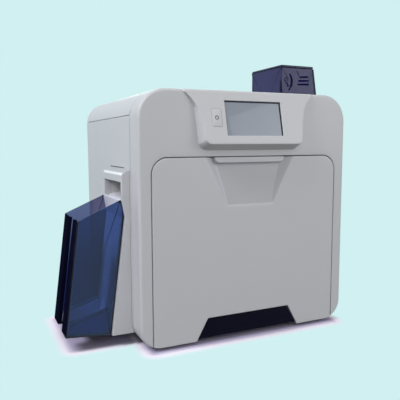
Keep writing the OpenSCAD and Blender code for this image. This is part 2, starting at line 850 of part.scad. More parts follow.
// Spring catches on the front chassis plate that hold the door shut.
module door_latch_catches() {
    z = door_top - 18;
    y0 = door_back + 4;
    color("silver") for (s = [-1, 1]) {
        x = s * hook_x;
        for (e = [-1, 1]) block([x + e * 4.5 - 0.8, y0, z - 5], [x + e * 4.5 + 0.8, frontp_y, z + 5]);
        block([x - 5.3, frontp_y - 1.2, z - 5], [x + 5.3, frontp_y, z + 5]);
    }
}

// ---------------------------------------------------------------- card output

// The side of the exit housing, drawn in by a given inset.
module housing_shape(inset) {
    foot = tray_foot + [0.5, 0];
    step = [tray_foot.x + 22.6, tray_foot.y + 168];
    polygon([[-side_x + 8, boss_top + 9 - inset * 1.5], [boss_x + inset, boss_top - inset * 0.6],
        [boss_x + inset, step.y + tray_shoulder + 1], [step.x + inset, step.y],
        [foot.x + inset, foot.y + inset], [-side_x + 12, foot.y + inset]]);
}

// Housing on the left side: the boss round the card exit and the wedge that carries the hopper.
module exit_housing() {
    color("gainsboro") difference() {
        along_y(covers_y + seam + 3, tray_y0 + tray_d + 2) housing_shape(0);
        body_form(-0.2, covers_y);
        along_y(covers_y + seam + 5.5, tray_y0 + tray_d - 0.5) intersection() {
            housing_shape(2.5);
            translate([-side_x - 60, 0]) square([80, exit_low - 14]);
        }
        block([boss_x - 1, lane - exit_w / 2, exit_low], [-side_x + 13, lane + exit_w / 2, exit_top]);
        for (h = [44, 140]) on_tray(lane - 30.4, lane - 23.6)
            translate([-9, h - 0.4]) square([12, 11 + tray_lift]);
        for (h = [44, 140]) on_tray(lane + 23.6, lane + 30.4)
            translate([-9, h - 0.4]) square([12, 11 + tray_lift]);
    }
}

// Chute that slides the card from the flipper out of the exit.
module exit_chute() {
    y0 = lane - exit_w / 2 + 0.4;
    y1 = lane + exit_w / 2 - 0.4;
    low = exit_low + 0.3;
    run = [[boss_x + 1.5, low], [-side_x + 12, low], [-side_x + 22, low + 10],
        [-118, lane_z - 36]];
    color("white") {
        along_y(y0, y1) polygon([run[0], [run[1].x, run[1].y], [run[2].x, run[2].y - 1], run[3] + [0, -2],
            run[3], [run[2].x - 0.5, run[2].y + 4], [run[1].x - 3, run[1].y + 9],
            [-side_x - 3, low + 7], [boss_x + 2, low + 1]]);
        for (y = [y0, y1 - 1.5]) along_y(y, y + 1.5) polygon([run[1], run[2] + [0, -1], run[3] + [0, -2],
            run[3] + [0, 14], run[2] + [0, 16], run[1] + [0, 22]]);
    }
}

// Side view of the output hopper in its own frame, drawn in by a given inset.
module tray_shape(inset, open) {
    polygon([[inset, inset], [tray_w - inset, inset - tray_drop],
        [tray_w - inset, tray_outer_h + open], [tray_step + inset * 0.8, tray_inner_h + open],
        [inset, tray_inner_h - tray_shoulder]]);
}

// Output hopper: an open box that leans on the housing, with a finger slot up its outer wall.
module output_hopper() {
    y0 = tray_y0;
    y1 = tray_y0 + tray_d;
    s = tray_slot_w / 2;
    color("midnightblue", 0.75) {
        difference() {
            on_tray(y0, y1) tray_shape(0, 0);
            on_tray(y0 + hopper_wall, y1 - hopper_wall) tray_shape(hopper_wall + 0.5, 6);
            on_tray(lane - s, lane + s) translate([tray_w - 4, -9]) square([9, tray_outer_h + 20]);
            on_tray(lane - s, lane + s) translate([tray_w - 20, -9]) square([24, 10]);
        }
        for (y = [lane - s - 2, lane + s]) on_tray(y, y + 2)
            translate([tray_w - 5.5, 0]) square([5.5, tray_outer_h - 1]);
        for (h = [44, 140], y = [lane - 30, lane + 24]) on_tray(y, y + 6)
            translate([-5, h]) square([5 + 0.5, 10]);
    }
}

// ---------------------------------------------------------------- card input

// Side view of the input hopper, drawn in by a given inset, up to z1.
module feed_shape(inset, z0, z1) {
    x0 = feed_x + inset;
    low = feed_x + feed_low_w - inset;
    top = feed_x + feed_top_w - inset;
    polygon([[x0, z0], [low, z0], [low, body_h + 1], [top, z1], [x0, z1]]);
}

// Input hopper: a deep tapered box without a top, open below the cards but for a ledge.
module input_hopper() {
    z1 = feed_top - lid_t;
    color("midnightblue", 0.75) difference() {
        union() {
            along_y(feed_y0, feed_y1) feed_shape(0, feed_floor, z1);
            hopper_lid_knuckles(-1, z1);
        }
        along_y(feed_y0 + hopper_wall, feed_y1 - hopper_wall) feed_shape(hopper_wall,
            feed_floor + 2, z1 + 2);
        block([feed_x + 7, feed_y0 + 7, feed_floor - 1], [feed_x + 50, feed_y1 - 7, feed_floor + 3]);
        block([feed_x - 1, feed_y0 + 1.2, feed_floor + 1.2], [feed_x + 4, feed_y1 - 1.2,
            feed_floor + 3.4]);
        x_rod(feed_x - 1, feed_x + feed_top_w + 1, feed_y1 + 2.5, z1, 1);
    }
}

// Knuckles of the hopper lid: two at the ends on the hopper, or with which 1 the lid's own.
module hopper_lid_knuckles(which, z1) {
    y = feed_y1 + 2.5;
    ends = which < 0 ? [[2, 12], [feed_top_w - 12, feed_top_w - 2]] : [[12.4, feed_top_w - 12.4]];
    for (e = ends) {
        x_rod(feed_x + e[0], feed_x + e[1], y, z1, 2.4);
        block([feed_x + e[0], feed_y1 - 0.5, which < 0 ? z1 - 5 : z1 + 0.2],
            [feed_x + e[1], y, which < 0 ? z1 - 0.2 : z1 + 2.4]);
    }
}

// Lid of the input hopper, hinged at the back.
module input_hopper_lid() {
    z1 = feed_top - lid_t;
    w = feed_top_w;
    color("midnightblue", 0.8) difference() {
        union() {
            block([feed_x, feed_y0, z1 + seat], [feed_x + w, feed_y1, feed_top]);
            block([feed_x + 2, feed_y0 + 2, z1 - 3], [feed_x + w - 3, feed_y1 - 4, z1 + 1]);
            hopper_lid_knuckles(1, z1);
            x_rod(feed_x + 2, feed_x + w - 2, feed_y1 + 2.5, z1, 0.95);
        }
        block([feed_x + 4, feed_y0 + 4, z1 - 4], [feed_x + w - 5, feed_y1 - 6, feed_top - 1.6]);
        for (x = [0, w - 12.2]) block([feed_x + x, feed_y1 - 1, z1 - 3],
            [feed_x + x + 12.2, feed_y1 + 0.2, feed_top + 1]);
    }
}

// Weight that presses the cards onto the feed roller, with a half-round grip.
module card_weight() {
    x0 = feed_x + hopper_wall + 0.5;
    x1 = x0 + card_w;
    y0 = lane - card_l / 2 + 0.5;
    y1 = lane + card_l / 2 - 0.5;
    z0 = feed_floor + 2;
    color("dimgray") difference() {
        union() {
            block([x0, y0, z0], [x1, y1, z0 + 12]);
            intersection() {
                y_rod([(x0 + x1) / 2, z0 + 10], y0 + 12, y1 - 12, 22);
                block([x0, y0, z0 + 11], [x1, y1, z0 + 40]);
            }
        }
        y_rod([(x0 + x1) / 2, z0 + 10], y0 + 14, y1 - 14, 19);
    }
}

// ---------------------------------------------------------------- chassis

// Shafts that run through both plates.
lane_shafts = [film_guide_c, platen_c, heat_c, back_c, [drive_right_x, drive_z],
    [drive_left_x, drive_z], [drive_right_x, pinch_z], [drive_left_x, pinch_z]];

// Window of the film cassette and of the ribbon cassette in the front plate.
film_window = [[film_supply_c.x - 34, film_supply_c.y - 34],
    [film_take_c.x + 34, film_take_c.y + 34]];
ribbon_window = [[ribbon_take_c.x - 49, ribbon_take_c.y - 24],
    [ribbon_supply_c.x + 26, ribbon_supply_c.y + 28]];

// Side profile of both chassis plates.
module chassis_shape() {
    difference() {
        union() {
            translate([chassis_x[0], chassis_low + 14]) square([chassis_x[1] - chassis_x[0],
                lane_z + 10 - chassis_low]);
            translate([-flange_x, chassis_low]) square([2 * flange_x, 15]);
        }
        translate([66, lane_z + 1]) square([90, 60]);
        translate([-150, lane_z - 40]) square([32, 80]);
        translate([-150, exit_low - 10]) square([20, 100]);
    }
}

module front_chassis_plate() {
    color("silver") difference() {
        union() {
            along_y(frontp_y, frontp_y + plate_t) chassis_shape();
            block([-flange_x, frontp_y, chassis_low], [flange_x, frontp_y + 14, chassis_low + 2]);
        }
        for (w = [film_window, ribbon_window]) block([w[0].x, frontp_y - 1, w[0].y],
            [w[1].x, frontp_y + plate_t + 1, w[1].y]);
        shaft_holes(concat(lane_shafts, [flipper_c, pick_c]), frontp_y - 1, frontp_y + plate_t + 1);
    }
}

module rear_chassis_plate() {
    color("silver") difference() {
        union() {
            along_y(rearp_y, rearp_y + plate_t) chassis_shape();
            block([-flange_x, rearp_y, chassis_low], [flange_x, rearp_y + 14, chassis_low + 2]);
        }
        shaft_holes(concat(lane_shafts, [flipper_c, pick_c, film_supply_c, film_take_c,
            ribbon_supply_c, ribbon_take_c, head_c]), rearp_y - 1, rearp_y + plate_t + 1);
        for (c = [film_pinion_c, ribbon_pinion_c, belt_motor_c])
            y_rod(c, rearp_y - 1, rearp_y + plate_t + 1, shaft_r + run_fit);
    }
}

// Four round spacers between the two plates, and four behind the rear plate.
spacer_at = [[-138, 40], [140, 40], [-10, 60], [30, 60], [-50, lane_z - 46]];
gearbox_at = [[-52, 150], [60, 205], [-120, 150], [80, 90]];
module chassis_spacers() {
    color("gray") {
        for (c = spacer_at) y_rod(c, frontp_y + plate_t, rearp_y, 4);
        for (c = gearbox_at) y_rod(c, bay_y, gearbox_y, 3.5);
    }
}

module gearbox_plate() {
    color("silver") difference() {
        along_y(gearbox_y, gearbox_y + plate_t) union() {
            translate([film_take_c.x - 38, film_take_c.y - 52])
                square([belt_motor_c.x - film_take_c.x + 94, gear_top - film_take_c.y + 52]);
            translate([ribbon_take_c.x - 68, ribbon_take_c.y - 40])
                square([92, gear_top - ribbon_take_c.y + 40]);
        }
        for (c = [film_take_c, film_pinion_c, ribbon_take_c, ribbon_pinion_c, belt_motor_c])
            y_rod(c, gearbox_y - 1, gearbox_y + plate_t + 1, shaft_r + run_fit);
    }
}

// ---------------------------------------------------------------- film and ribbon

// A cassette: front panel with a grip, back panel, and two bars between them.
module cassette(w, spools, bars) {
    y0 = frontp_y - seat - 3;
    y1 = rearp_y - seat;
    difference() {
        union() {
            along_y(y0, y0 + 3) round_box(w[0] - [4, 4], w[1] + [4, 4], 8, 8);
            along_y(y1 - 2.5, y1) round_box(w[0] + [1, 1], w[1] - [1, 1], 8, 8);
            for (b = bars) y_rod(b, y0 + 2, y1 - 2, 3);
            mid = (w[0] + w[1]) / 2;
            block([mid.x - 4, y0 - 9, mid.y - 22], [mid.x + 4, y0 + 1, mid.y + 22]);
            block([mid.x - 10, y0 - 11, mid.y - 24], [mid.x + 10, y0 - 8, mid.y + 24]);
        }
        for (c = spools) y_rod(c, y0 - 1, y1 + 1, shaft_r + 2 + run_fit);
    }
}

// A spool: core, flanges and wound web on a spindle. The spindle reaches the gear if tail > 0.
module spool(c, r, tail) {
    y0 = frontp_y - seat - 3;
    y_rod(c, lane_y0, lane_y1, r - 0.2);
    for (y = [lane_y0 - 2.5, lane_y1 + 0.5]) y_rod(c, y, y + 2, max(r - 2, 12));
    y_rod(c, lane_y0 - 3, lane_y1 + 3, 9);
    y_rod(c, y0 + 0.5, rearp_y - seat, shaft_r + 2);
    y_rod(c, rearp_y - 1, bay_y + tail, shaft_r);
}

module film_cassette() {
    color("lightsteelblue") cassette(film_window, [film_supply_c, film_take_c],
        [for (side = [-28, 28]) [film_take_c.x + side, (film_supply_c.y + film_take_c.y) / 2]]);
}

module film_supply_spool() {
    color("dimgray") spool(film_supply_c, film_full_r, 0);
}

module film_takeup_spool() {
    color("dimgray") spool(film_take_c, film_take_r, 12 + plate_t);
    color("ivory") gear(film_take_c, bay_y + 3, bay_y + 8, gear_m, gear_z, 0, shaft_r - eps);
}

module film_web() {
    color("lightcyan") web(film_path, lane_y0 + 2, lane_y1 - 2, 0.1, web_t);
}

module ribbon_cassette() {
    color("royalblue") {
        difference() {
            cassette(ribbon_window, [ribbon_supply_c, ribbon_take_c],
                [[ribbon_take_c.x + 20, (ribbon_supply_c.y + ribbon_take_c.y) / 2]]);
            // Way for the print head when the cassette is drawn out.
            along_y(lane_y1, rearp_y) polygon([[60, tip_z - 12], [head_c.x + 6, tip_z - 12],
                [head_c.x + 6, head_c.y + 8], [head_c.x - 7, head_c.y + 8],
                [head_c.x - 7, tip_z + 16], [60, tip_z + 16]]);
        }
        for (c = pin_c) y_rod(c, frontp_y - seat - 3, rearp_y - seat, pin_web_r - 0.1);
    }
}

module ribbon_supply_spool() {
    color("dimgray") spool(ribbon_supply_c, ribbon_full_r, 0);
}

module ribbon_takeup_spool() {
    color("dimgray") spool(ribbon_take_c, ribbon_take_r, 12 + plate_t);
    color("ivory") gear(ribbon_take_c, bay_y + 3, bay_y + 8, gear_m, gear_z, 0, shaft_r - eps);
}

module ribbon_web() {
    color("indigo") web(ribbon_path, lane_y0 + 2, lane_y1 - 2, 0.1, web_t);
}

// Thermal print head: arms from the pivot shaft, finned sink and heater edge.
module print_head() {
    y0 = lane_y0 + 2;
    y1 = lane_y1 - 2;
    tip = [pin_c[0].x - pin_web_r + 1.3, tip_z];
    color("slategray") {
        y_rod(head_c, y0, bay_y, shaft_r);
        y_rod(head_c, y0, y1, 5);
        block([head_c.x - 4, y0, tip.y + 6], [head_c.x + 3, y1, head_c.y]);
        along_y(y0, y1) polygon([tip + [0, -1], tip + [0, 1], tip + [6, 9], [head_c.x - 3, tip.y + 12],
            [head_c.x - 3, tip.y - 8], tip + [6, -8]]);
        for (k = [0 : 3]) block([head_c.x - 4, y0, tip.y - 7.5 + k * 5], [head_c.x + 4, y1,
            tip.y - 5.5 + k * 5]);
    }
}

module platen_roller() {
    color("black") roller(platen_c, platen_r);
}

// ---------------------------------------------------------------- card transport

module transfer_roller() {
    color("silver") roller(heat_c, heat_r);
}

module backing_roller() {
    color("dimgray") roller(back_c, backing_r);
}

// A driven roller with its belt pulley behind the rear plate.
module drive_roller(x) {
    roller([x, drive_z], drive_r, lane_y0 + 10, lane_y1 - 10, belt_w + 3);
    y_rod([x, drive_z], bay_y + 1, bay_y + 2 + belt_w, pulley_r);
}

module drive_roller_right() {
    color("dimgray") drive_roller(drive_right_x);
}

module drive_roller_left() {
    color("dimgray") drive_roller(drive_left_x);
}

module pinch_roller_right() {
    color("silver") roller([drive_right_x, pinch_z], pinch_r, lane_y0 + 10, lane_y1 - 10);
}

module pinch_roller_left() {
    color("silver") roller([drive_left_x, pinch_z], pinch_r, lane_y0 + 10, lane_y1 - 10);
}

module feed_roller() {
    color("dimgray") roller(pick_c, pick_r, lane - 22, lane + 22);
}

// Card flipper: two discs on stub shafts with guide plates above and below the card.
module card_flipper() {
    y0 = lane_y0 - 3;
    y1 = lane_y1 + 3;
    h = 2.2;
    color("ivory") {
        for (y = [y0, y1 - 3]) y_rod(flipper_c, y, y + 3, flipper_r - 8);
        for (s = [-1, 1]) block([flipper_c.x - flipper_r + 4, y0 + 2, flipper_c.y + (s > 0 ? h : -h - 2)],
            [flipper_c.x + flipper_r - 4, y1 - 2, flipper_c.y + (s > 0 ? h + 2 : -h)]);
        y_rod(flipper_c, frontp_y, y0 + 1, shaft_r);
        y_rod(flipper_c, y1 - 1, bay_y, shaft_r);
    }
}

module drive_belt() {
    color("black") difference() {
        along_y(bay_y + 1.5, bay_y + 1.5 + belt_w) belt_loop(belt_t + 0.1);
        along_y(bay_y, bay_y + 3 + belt_w) belt_loop(0.1);
    }
}

// Closed loop round the belt's pulleys, h outside them.
module belt_loop(h) {
    hull() for (p = belt_path) translate([p.x, p.y]) circle(r = p.z + h, $fn = 96);
}

// ---------------------------------------------------------------- drives and electronics

// A square motor behind the gearbox plate, with its rear bearing cap.
module motor(c, w) {
    y0 = gearbox_y + plate_t;
    along_y(y0, y0 + 34) round_box(c - [w / 2, w / 2], c + [w / 2, w / 2], 3, 3);
    y_rod(c, y0 + 34 - eps, y0 + 37, w / 3);
}

module belt_motor() {
    color("dimgray") motor(belt_motor_c, 40);
}

// Pulley and shaft of the belt motor.
module motor_pulley() {
    color("silver") {
        y_rod(belt_motor_c, rearp_y, gearbox_y + plate_t - seat, shaft_r);
        y_rod(belt_motor_c, bay_y + 1, bay_y + 2 + belt_w, motor_pulley_r);
    }
}

module film_motor() {
    color("dimgray") motor(film_pinion_c, 34);
}

module ribbon_motor() {
    color("dimgray") motor(ribbon_pinion_c, 34);
}

// Pinion with its shaft. The turn sets a tooth gap on the line to the gear.
module pinion(c, turn) {
    gear(c, bay_y + 3, bay_y + 8, gear_m, pinion_z, turn, shaft_r - eps);
    y_rod(c, rearp_y, gearbox_y + plate_t - seat, shaft_r);
}

module film_pinion() {
    color("goldenrod") pinion(film_pinion_c, 90 + 180 / pinion_z);
}

module ribbon_pinion() {
    color("goldenrod") pinion(ribbon_pinion_c, 90 + 180 / pinion_z);
}

// Main circuit board on its pillars, with the two data sockets at its back edge.
module main_board() {
    color("darkgreen") {
        block([each board_low, board_z], [each board_high, board_z + 1.6]);
        for (x = [board_low.x + 6, board_high.x - 12], y = [board_low.y + 6, board_high.y - 6])
            translate([x, y, chassis_low])
            cylinder(h = board_z - chassis_low + eps, r = 3, $fn = 24);
    }
    color("silver") {
        for (k = sockets) difference() {
            block([k[0], back_y - 24, board_z + 1.5], [k[1], back_y - 0.5, k[2]]);
            mid = [(k[0] + k[1]) / 2, (board_z + 2 + k[2]) / 2];
            block([mid.x - k[3] / 2, back_y - 16, mid.y - k[4] / 2], [mid.x + k[3] / 2, back_y,
                mid.y + k[4] / 2]);
        }
        for (x = [30, 60, 90]) block([x, 50, board_z + 1.5], [x + 18, 68, board_z + 6]);
    }
}

module power_supply() {
    color("silver") difference() {
        block([-flange_x, 20, chassis_low], [-10, back_y - 40, chassis_low + 46]);
        for (k = [0 : 9]) block([-130 + k * 12, 30, chassis_low + 44], [-124 + k * 12, 90,
            chassis_low + 48]);
    }
}

module power_inlet() {
    color("black") difference() {
        union() {
            block([inlet_c.x - 13.7, back_y - 24, inlet_c.y - 10], [inlet_c.x + 13.7, back_y + 1,
                inlet_c.y + 10]);
            block([inlet_c.x - 16, back_y + seat - 0.2, inlet_c.y - 12.5], [inlet_c.x + 16, back_y + 2,
                inlet_c.y + 12.5]);
        }
        block([inlet_c.x - 11.5, back_y - 16, inlet_c.y - 7.5], [inlet_c.x + 11.5, back_y + 3,
            inlet_c.y + 7.5]);
    }
}

module power_switch() {
    color("black") difference() {
        union() {
            block([switch_c.x - 9, back_y - 22, switch_c.y - 13], [switch_c.x + 9, back_y + 1,
                switch_c.y + 13]);
            block([switch_c.x - 11, back_y + seat - 0.2, switch_c.y - 15], [switch_c.x + 11, back_y + 2,
                switch_c.y + 15]);
        }
        block([switch_c.x - 6.5, back_y - 12, switch_c.y - 11], [switch_c.x + 6.5, back_y + 3,
            switch_c.y + 11]);
        x_rod(switch_c.x - 8, switch_c.x + 8, back_y - 3, switch_c.y, 1.05);
    }
}

// Rocker: two faces that meet at a flat angle, on a pin across the switch.
module power_rocker() {
    y = back_y - 3;
    color("dimgray") {
        translate([0, y, switch_c.y]) rotate([-rocker_tilt, 0, 0])
            along_x(switch_c.x - 6.2, switch_c.x + 6.2)
                polygon([[-3, -7], [4.6, -10], [3.4, 0], [4.6, 10], [-3, 7]]);
        x_rod(switch_c.x - 7.8, switch_c.x + 7.8, y, switch_c.y, 1);
    }
}

// Extrudes a shape drawn in Y and Z from x0 to x1.
module along_x(x0, x1) {
    translate([x0, 0, 0]) rotate([90, 0, 90]) linear_extrude(x1 - x0) children();
}

// Fan housing: a square frame with a round duct and three struts to the hub.
module cooling_fan() {
    h = fan_w / 2;
    color("black") {
        difference() {
            along_y(fan_y0, fan_y0 + fan_t) round_box(fan_c - [h, h], fan_c + [h, h], 4, 4);
            y_rod(fan_c, fan_y0 - 1, fan_y0 + fan_t + 1, h - 2);
        }
        intersection() {
            along_y(fan_y0, fan_y0 + 3) translate(fan_c) union() {
                circle(r = 13, $fn = 48);
                for (a = [30, 150, 270]) rotate(a) translate([0, -2]) square([h, 4]);
            }
            y_rod(fan_c, fan_y0 - 1, fan_y0 + 5, h);
        }
        y_rod(fan_c, fan_y0 + 3 - eps, fan_y0 + 16, 2);
    }
}

// Fan rotor: hub and seven pitched blades.
module fan_rotor() {
    y0 = fan_y0 + 4;
    color("dimgray") difference() {
        union() {
            y_rod(fan_c, y0, y0 + 17, 14);
            for (k = [0 : 6]) translate([fan_c.x, y0 + 8.5, fan_c.y]) rotate([0, k * 360 / 7, 0])
                translate([12, 0, 0]) rotate([35, 0, 0]) translate([0, -0.8, -9])
                    cube([23, 1.6, 18]);
        }
        y_rod(fan_c, y0 - 1, y0 + 13, 2 + run_fit);
    }
}

// Round-headed screws that hold the rear cover.
module casing_screws() {
    color("silver") for (x = [22 - side_x, side_x - 22], z = [foot_h + 22, body_h / 2, seam_z - 20]) {
        translate([x, back_y + 1.6, z]) rotate([90, 0, 0]) cylinder(h = 1.6, r = 3, $fn = 32);
    }
}

base_tray();
rubber_feet();
front_fascia();
left_side_cover();
right_side_cover();
rear_cover();
top_cover();
top_cover_hinge_pins();
plinth_plate();
front_door();
door_liner();
door_hinge_pins();
door_latch_catches();
screen_glass();
screen_module();
console_board();
power_button();
exit_housing();
exit_chute();
output_hopper();
input_hopper();
input_hopper_lid();
card_weight();
front_chassis_plate();
rear_chassis_plate();
chassis_spacers();
film_cassette();
film_supply_spool();
film_takeup_spool();
film_web();
ribbon_cassette();
ribbon_supply_spool();
ribbon_takeup_spool();
ribbon_web();
print_head();
platen_roller();
transfer_roller();
backing_roller();
drive_roller_right();
drive_roller_left();
pinch_roller_right();
pinch_roller_left();
feed_roller();
card_flipper();
drive_belt();
belt_motor();
motor_pulley();
film_motor();
film_pinion();
ribbon_motor();
ribbon_pinion();
gearbox_plate();
main_board();
power_supply();
power_inlet();
power_switch();
power_rocker();
cooling_fan();
fan_rotor();
casing_screws();
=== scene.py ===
"""Desktop card printer: finishes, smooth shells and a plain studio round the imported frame."""

from __future__ import annotations

import json
import logging
import math
from dataclasses import dataclass, replace
from enum import Enum
from typing import Callable, Sequence

import bmesh
import bpy
import numpy as np
from mathutils import Matrix, Vector

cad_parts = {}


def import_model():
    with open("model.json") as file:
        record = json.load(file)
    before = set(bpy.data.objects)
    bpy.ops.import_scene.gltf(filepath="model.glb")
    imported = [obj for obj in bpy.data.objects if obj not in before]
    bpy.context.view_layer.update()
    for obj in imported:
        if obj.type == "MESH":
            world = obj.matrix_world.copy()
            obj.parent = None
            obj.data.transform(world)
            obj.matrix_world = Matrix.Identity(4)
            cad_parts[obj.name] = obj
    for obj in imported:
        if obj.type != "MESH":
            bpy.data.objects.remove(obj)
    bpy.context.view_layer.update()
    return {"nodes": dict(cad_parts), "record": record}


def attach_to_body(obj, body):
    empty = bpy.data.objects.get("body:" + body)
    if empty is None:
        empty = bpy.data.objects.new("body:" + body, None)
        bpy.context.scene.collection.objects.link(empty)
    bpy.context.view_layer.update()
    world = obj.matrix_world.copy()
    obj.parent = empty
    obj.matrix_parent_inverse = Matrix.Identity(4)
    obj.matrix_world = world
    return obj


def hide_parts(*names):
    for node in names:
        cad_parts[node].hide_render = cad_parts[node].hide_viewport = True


LOG = logging.getLogger("card_printer")
MM = 0.001
Colour = tuple[float, float, float, float]
Point = tuple[float, float, float]
Socket = bpy.types.NodeSocket


# ---- shader nodes


def linear(hex_colour: str) -> Colour:
    """Turns six hex digits of sRGB, after a hash, into opaque linear light.

    Args:
        hex_colour: The digits, with the hash.

    Returns:
        Linear red, green, blue and an alpha of 1.
    """
    channels = np.array([int(hex_colour[i:i + 2], 16) / 255.0 for i in (1, 3, 5)])
    bent = np.where(channels <= 0.04045, channels / 12.92, ((channels + 0.055) / 1.055) ** 2.4)
    return (float(bent[0]), float(bent[1]), float(bent[2]), 1.0)


class Shader:
    """A node tree under construction, with short calls for the nodes that repeat."""

    def __init__(self, tree: bpy.types.NodeTree) -> None:
        """Empties the tree."""
        tree.nodes.clear()
        self.tree = tree

    def add(self, kind: str, inputs: dict | None = None,
            **settings: object) -> bpy.types.bpy_prop_collection:
        """Adds one node.

        Args:
            kind: Blender's name of the node type, without its first word.
            inputs: Input name or index to its value, or to the socket that feeds it.
            settings: Attributes to set on the node.

        Returns:
            The node's outputs.
        """
        node = self.tree.nodes.new("ShaderNode" + kind)
        for key, value in settings.items():
            setattr(node, key, value)
        for key, value in (inputs or {}).items():
            if isinstance(value, Socket):
                self.tree.links.new(value, node.inputs[key])
            else:
                node.inputs[key].default_value = value
        return node.outputs

    def place(self) -> Socket:
        """The shading point in the object's own axes."""
        return self.add("TexCoord")["Object"]

    def math(self, operation: str, *values: Socket | float) -> Socket:
        """The result of an operation on numbers."""
        return self.add("Math", dict(enumerate(values)), operation=operation)[0]

    def vector(self, operation: str, *values: Socket | Point) -> Socket:
        """The result of an operation on vectors: a vector, or a length."""
        outputs = self.add("VectorMath", dict(enumerate(values)), operation=operation)
        return outputs["Value" if operation == "LENGTH" else "Vector"]

    def spread(self, value: Socket, low: float, high: float) -> Socket:
        """Carries 0 to 1 over to low to high."""
        return self.add("MapRange", {"Value": value, "To Min": low, "To Max": high})["Result"]

    def step(self, value: Socket, low_mm: float, high_mm: float) -> Socket:
        """A soft step from 0 to 1 between two distances."""
        span = {"Value": value, "From Min": low_mm * MM, "From Max": high_mm * MM}
        return self.add("MapRange", span, interpolation_type="SMOOTHSTEP")["Result"]

    def blend(self, share: Socket, first: Socket | Colour, second: Colour) -> Socket:
        """Mixes two colours."""
        return self.add("Mix", {0: share, 6: first, 7: second}, data_type="RGBA")[2]


@dataclass(frozen=True)
class Surface:
    """A named material."""

    name: str

    def shader(self, tree: Shader) -> Socket:
        """Adds the material's nodes and returns the shader.

        Args:
            tree: The tree to add them to.

        Returns:
            The output of its shader node.
        """
        raise NotImplementedError

    def build(self) -> bpy.types.Material:
        """Returns the node material, made once for each name.

        Returns:
            The material.
        """
        material = bpy.data.materials.get(self.name)
        if material is None:
            material = bpy.data.materials.new(self.name)
            material.use_nodes = True
            tree = Shader(material.node_tree)
            tree.add("OutputMaterial", {"Surface": self.shader(tree)})
        return material


@dataclass(frozen=True)
class Finish(Surface):
    """A surface finish: what the material is, and how light meets it.

    The colour drifts a little over the surface, and the bump is a grain of a real size.
    """

    colour: str
    drift: float = 0.03
    drift_mm: float = 60.0
    roughness: float = 0.45
    rough_drift: float = 0.06
    metallic: float = 0.0
    ior: float = 1.5
    grain_mm: float = 0.9
    grain_depth_mm: float = 0.02
    transmission: float = 0.0
    coat: float = 0.0
    specular: float = 0.5
    stretch: Point = (1.0, 1.0, 1.0)

    def shader(self, tree: Shader) -> Socket:
        """Returns the principled shader with its drift and its grain.

        Args:
            tree: The tree to add them to.

        Returns:
            The output of its shader node.
        """
        scaled = tree.add("Mapping", {"Vector": tree.place(), "Scale": self.stretch})[0]
        cloud, grain = (tree.add("TexNoise", {"Vector": scaled, "Scale": 1.0 / (size * MM),
                                              "Detail": detail})["Fac"]
                        for size, detail in ((self.drift_mm, 3.0), (self.grain_mm, 2.0)))
        base = np.array(linear(self.colour)[:3])
        dark, light = (tuple(np.append(np.minimum(base * (1.0 + drift), 1.0), 1.0))
                       for drift in (-self.drift, self.drift))
        bump = tree.add("Bump", {"Height": grain, "Strength": 1.0,
                                 "Distance": self.grain_depth_mm * MM})["Normal"]
        return tree.add("BsdfPrincipled", {
            "Base Color": tree.blend(cloud, dark, light),
            "Roughness": tree.spread(grain, max(self.roughness - self.rough_drift, 0.02),
                                     min(self.roughness + self.rough_drift, 1.0)),
            "Normal": bump, "Metallic": self.metallic, "IOR": self.ior,
            "Transmission Weight": self.transmission, "Coat Weight": self.coat,
            "Specular IOR Level": self.specular})[0]


@dataclass(frozen=True)
class TintedShell(Surface):
    """Tinted clear plastic of a box: deep at the corners, where light runs along the walls.

    A point counts as near a corner when two of its three places in the box are near the ends
    of their ranges: max(min(a, b), min(b, c), min(a, c)) of the three closeness values.
    """

    body: str
    deep: str
    clear: float
    middle: Point
    half: Point
    lean_deg: float = 0.0
    taper: float = 0.0
    taper_z: float = 0.0
    edge_mm: float = 3.0
    roughness: float = 0.1
    specular: float = 0.5
    low: str = ""
    low_z: tuple[float, float] = (60.0, 170.0)

    def closeness(self, tree: Shader, value: Socket, half: float) -> Socket:
        """Returns 1 at the end of a range and 0 a little inside it."""
        return tree.step(tree.math("ABSOLUTE", value), half - self.edge_mm,
                         half - self.edge_mm * 0.55)

    def corner(self, tree: Shader) -> Socket:
        """Returns how near the shading point is to a corner of the box.

        Args:
            tree: The tree to add the nodes to.

        Returns:
            1 at a corner and 0 away from it.
        """
        lean = math.radians(self.lean_deg)
        turned = Matrix.Rotation(lean, 3, "Y") @ Vector(self.middle)
        box = tree.add("Mapping", {"Vector": tree.place(), "Rotation": (0.0, lean, 0.0),
                                   "Location": tuple(-turned * MM)})[0]
        x, y, z = tree.add("SeparateXYZ", {0: box})
        above = tree.math("MAXIMUM", tree.math("SUBTRACT", z, self.taper_z * MM), 0.0)
        wide = tree.math("MAXIMUM", x, tree.math("MULTIPLY_ADD", above, self.taper, x))
        a, b, c = (self.closeness(tree, value, half)
                   for value, half in zip((wide, y, z), self.half))
        ab, bc, ac = (tree.math("MINIMUM", *pair) for pair in ((a, b), (b, c), (a, c)))
        return tree.math("MAXIMUM", tree.math("MAXIMUM", ab, bc), ac)

    def shader(self, tree: Shader) -> Socket:
        """Returns clear plastic that darkens towards the corners, and downwards if asked.

        Args:
            tree: The tree to add it to.

        Returns:
            The output of its shader node.
        """
        near = self.corner(tree)
        body = linear(self.body)
        if self.low:
            height = tree.add("SeparateXYZ", {0: tree.place()})["Z"]
            body = tree.blend(tree.step(height, *self.low_z), linear(self.low), body)
        return tree.add("BsdfPrincipled", {
            "Base Color": tree.blend(near, body, linear(self.deep)),
            "Transmission Weight": tree.spread(near, self.clear, 0.0),
            "Roughness": self.roughness, "IOR": 1.45,
            "Specular IOR Level": self.specular})[0]


# ---- finishes

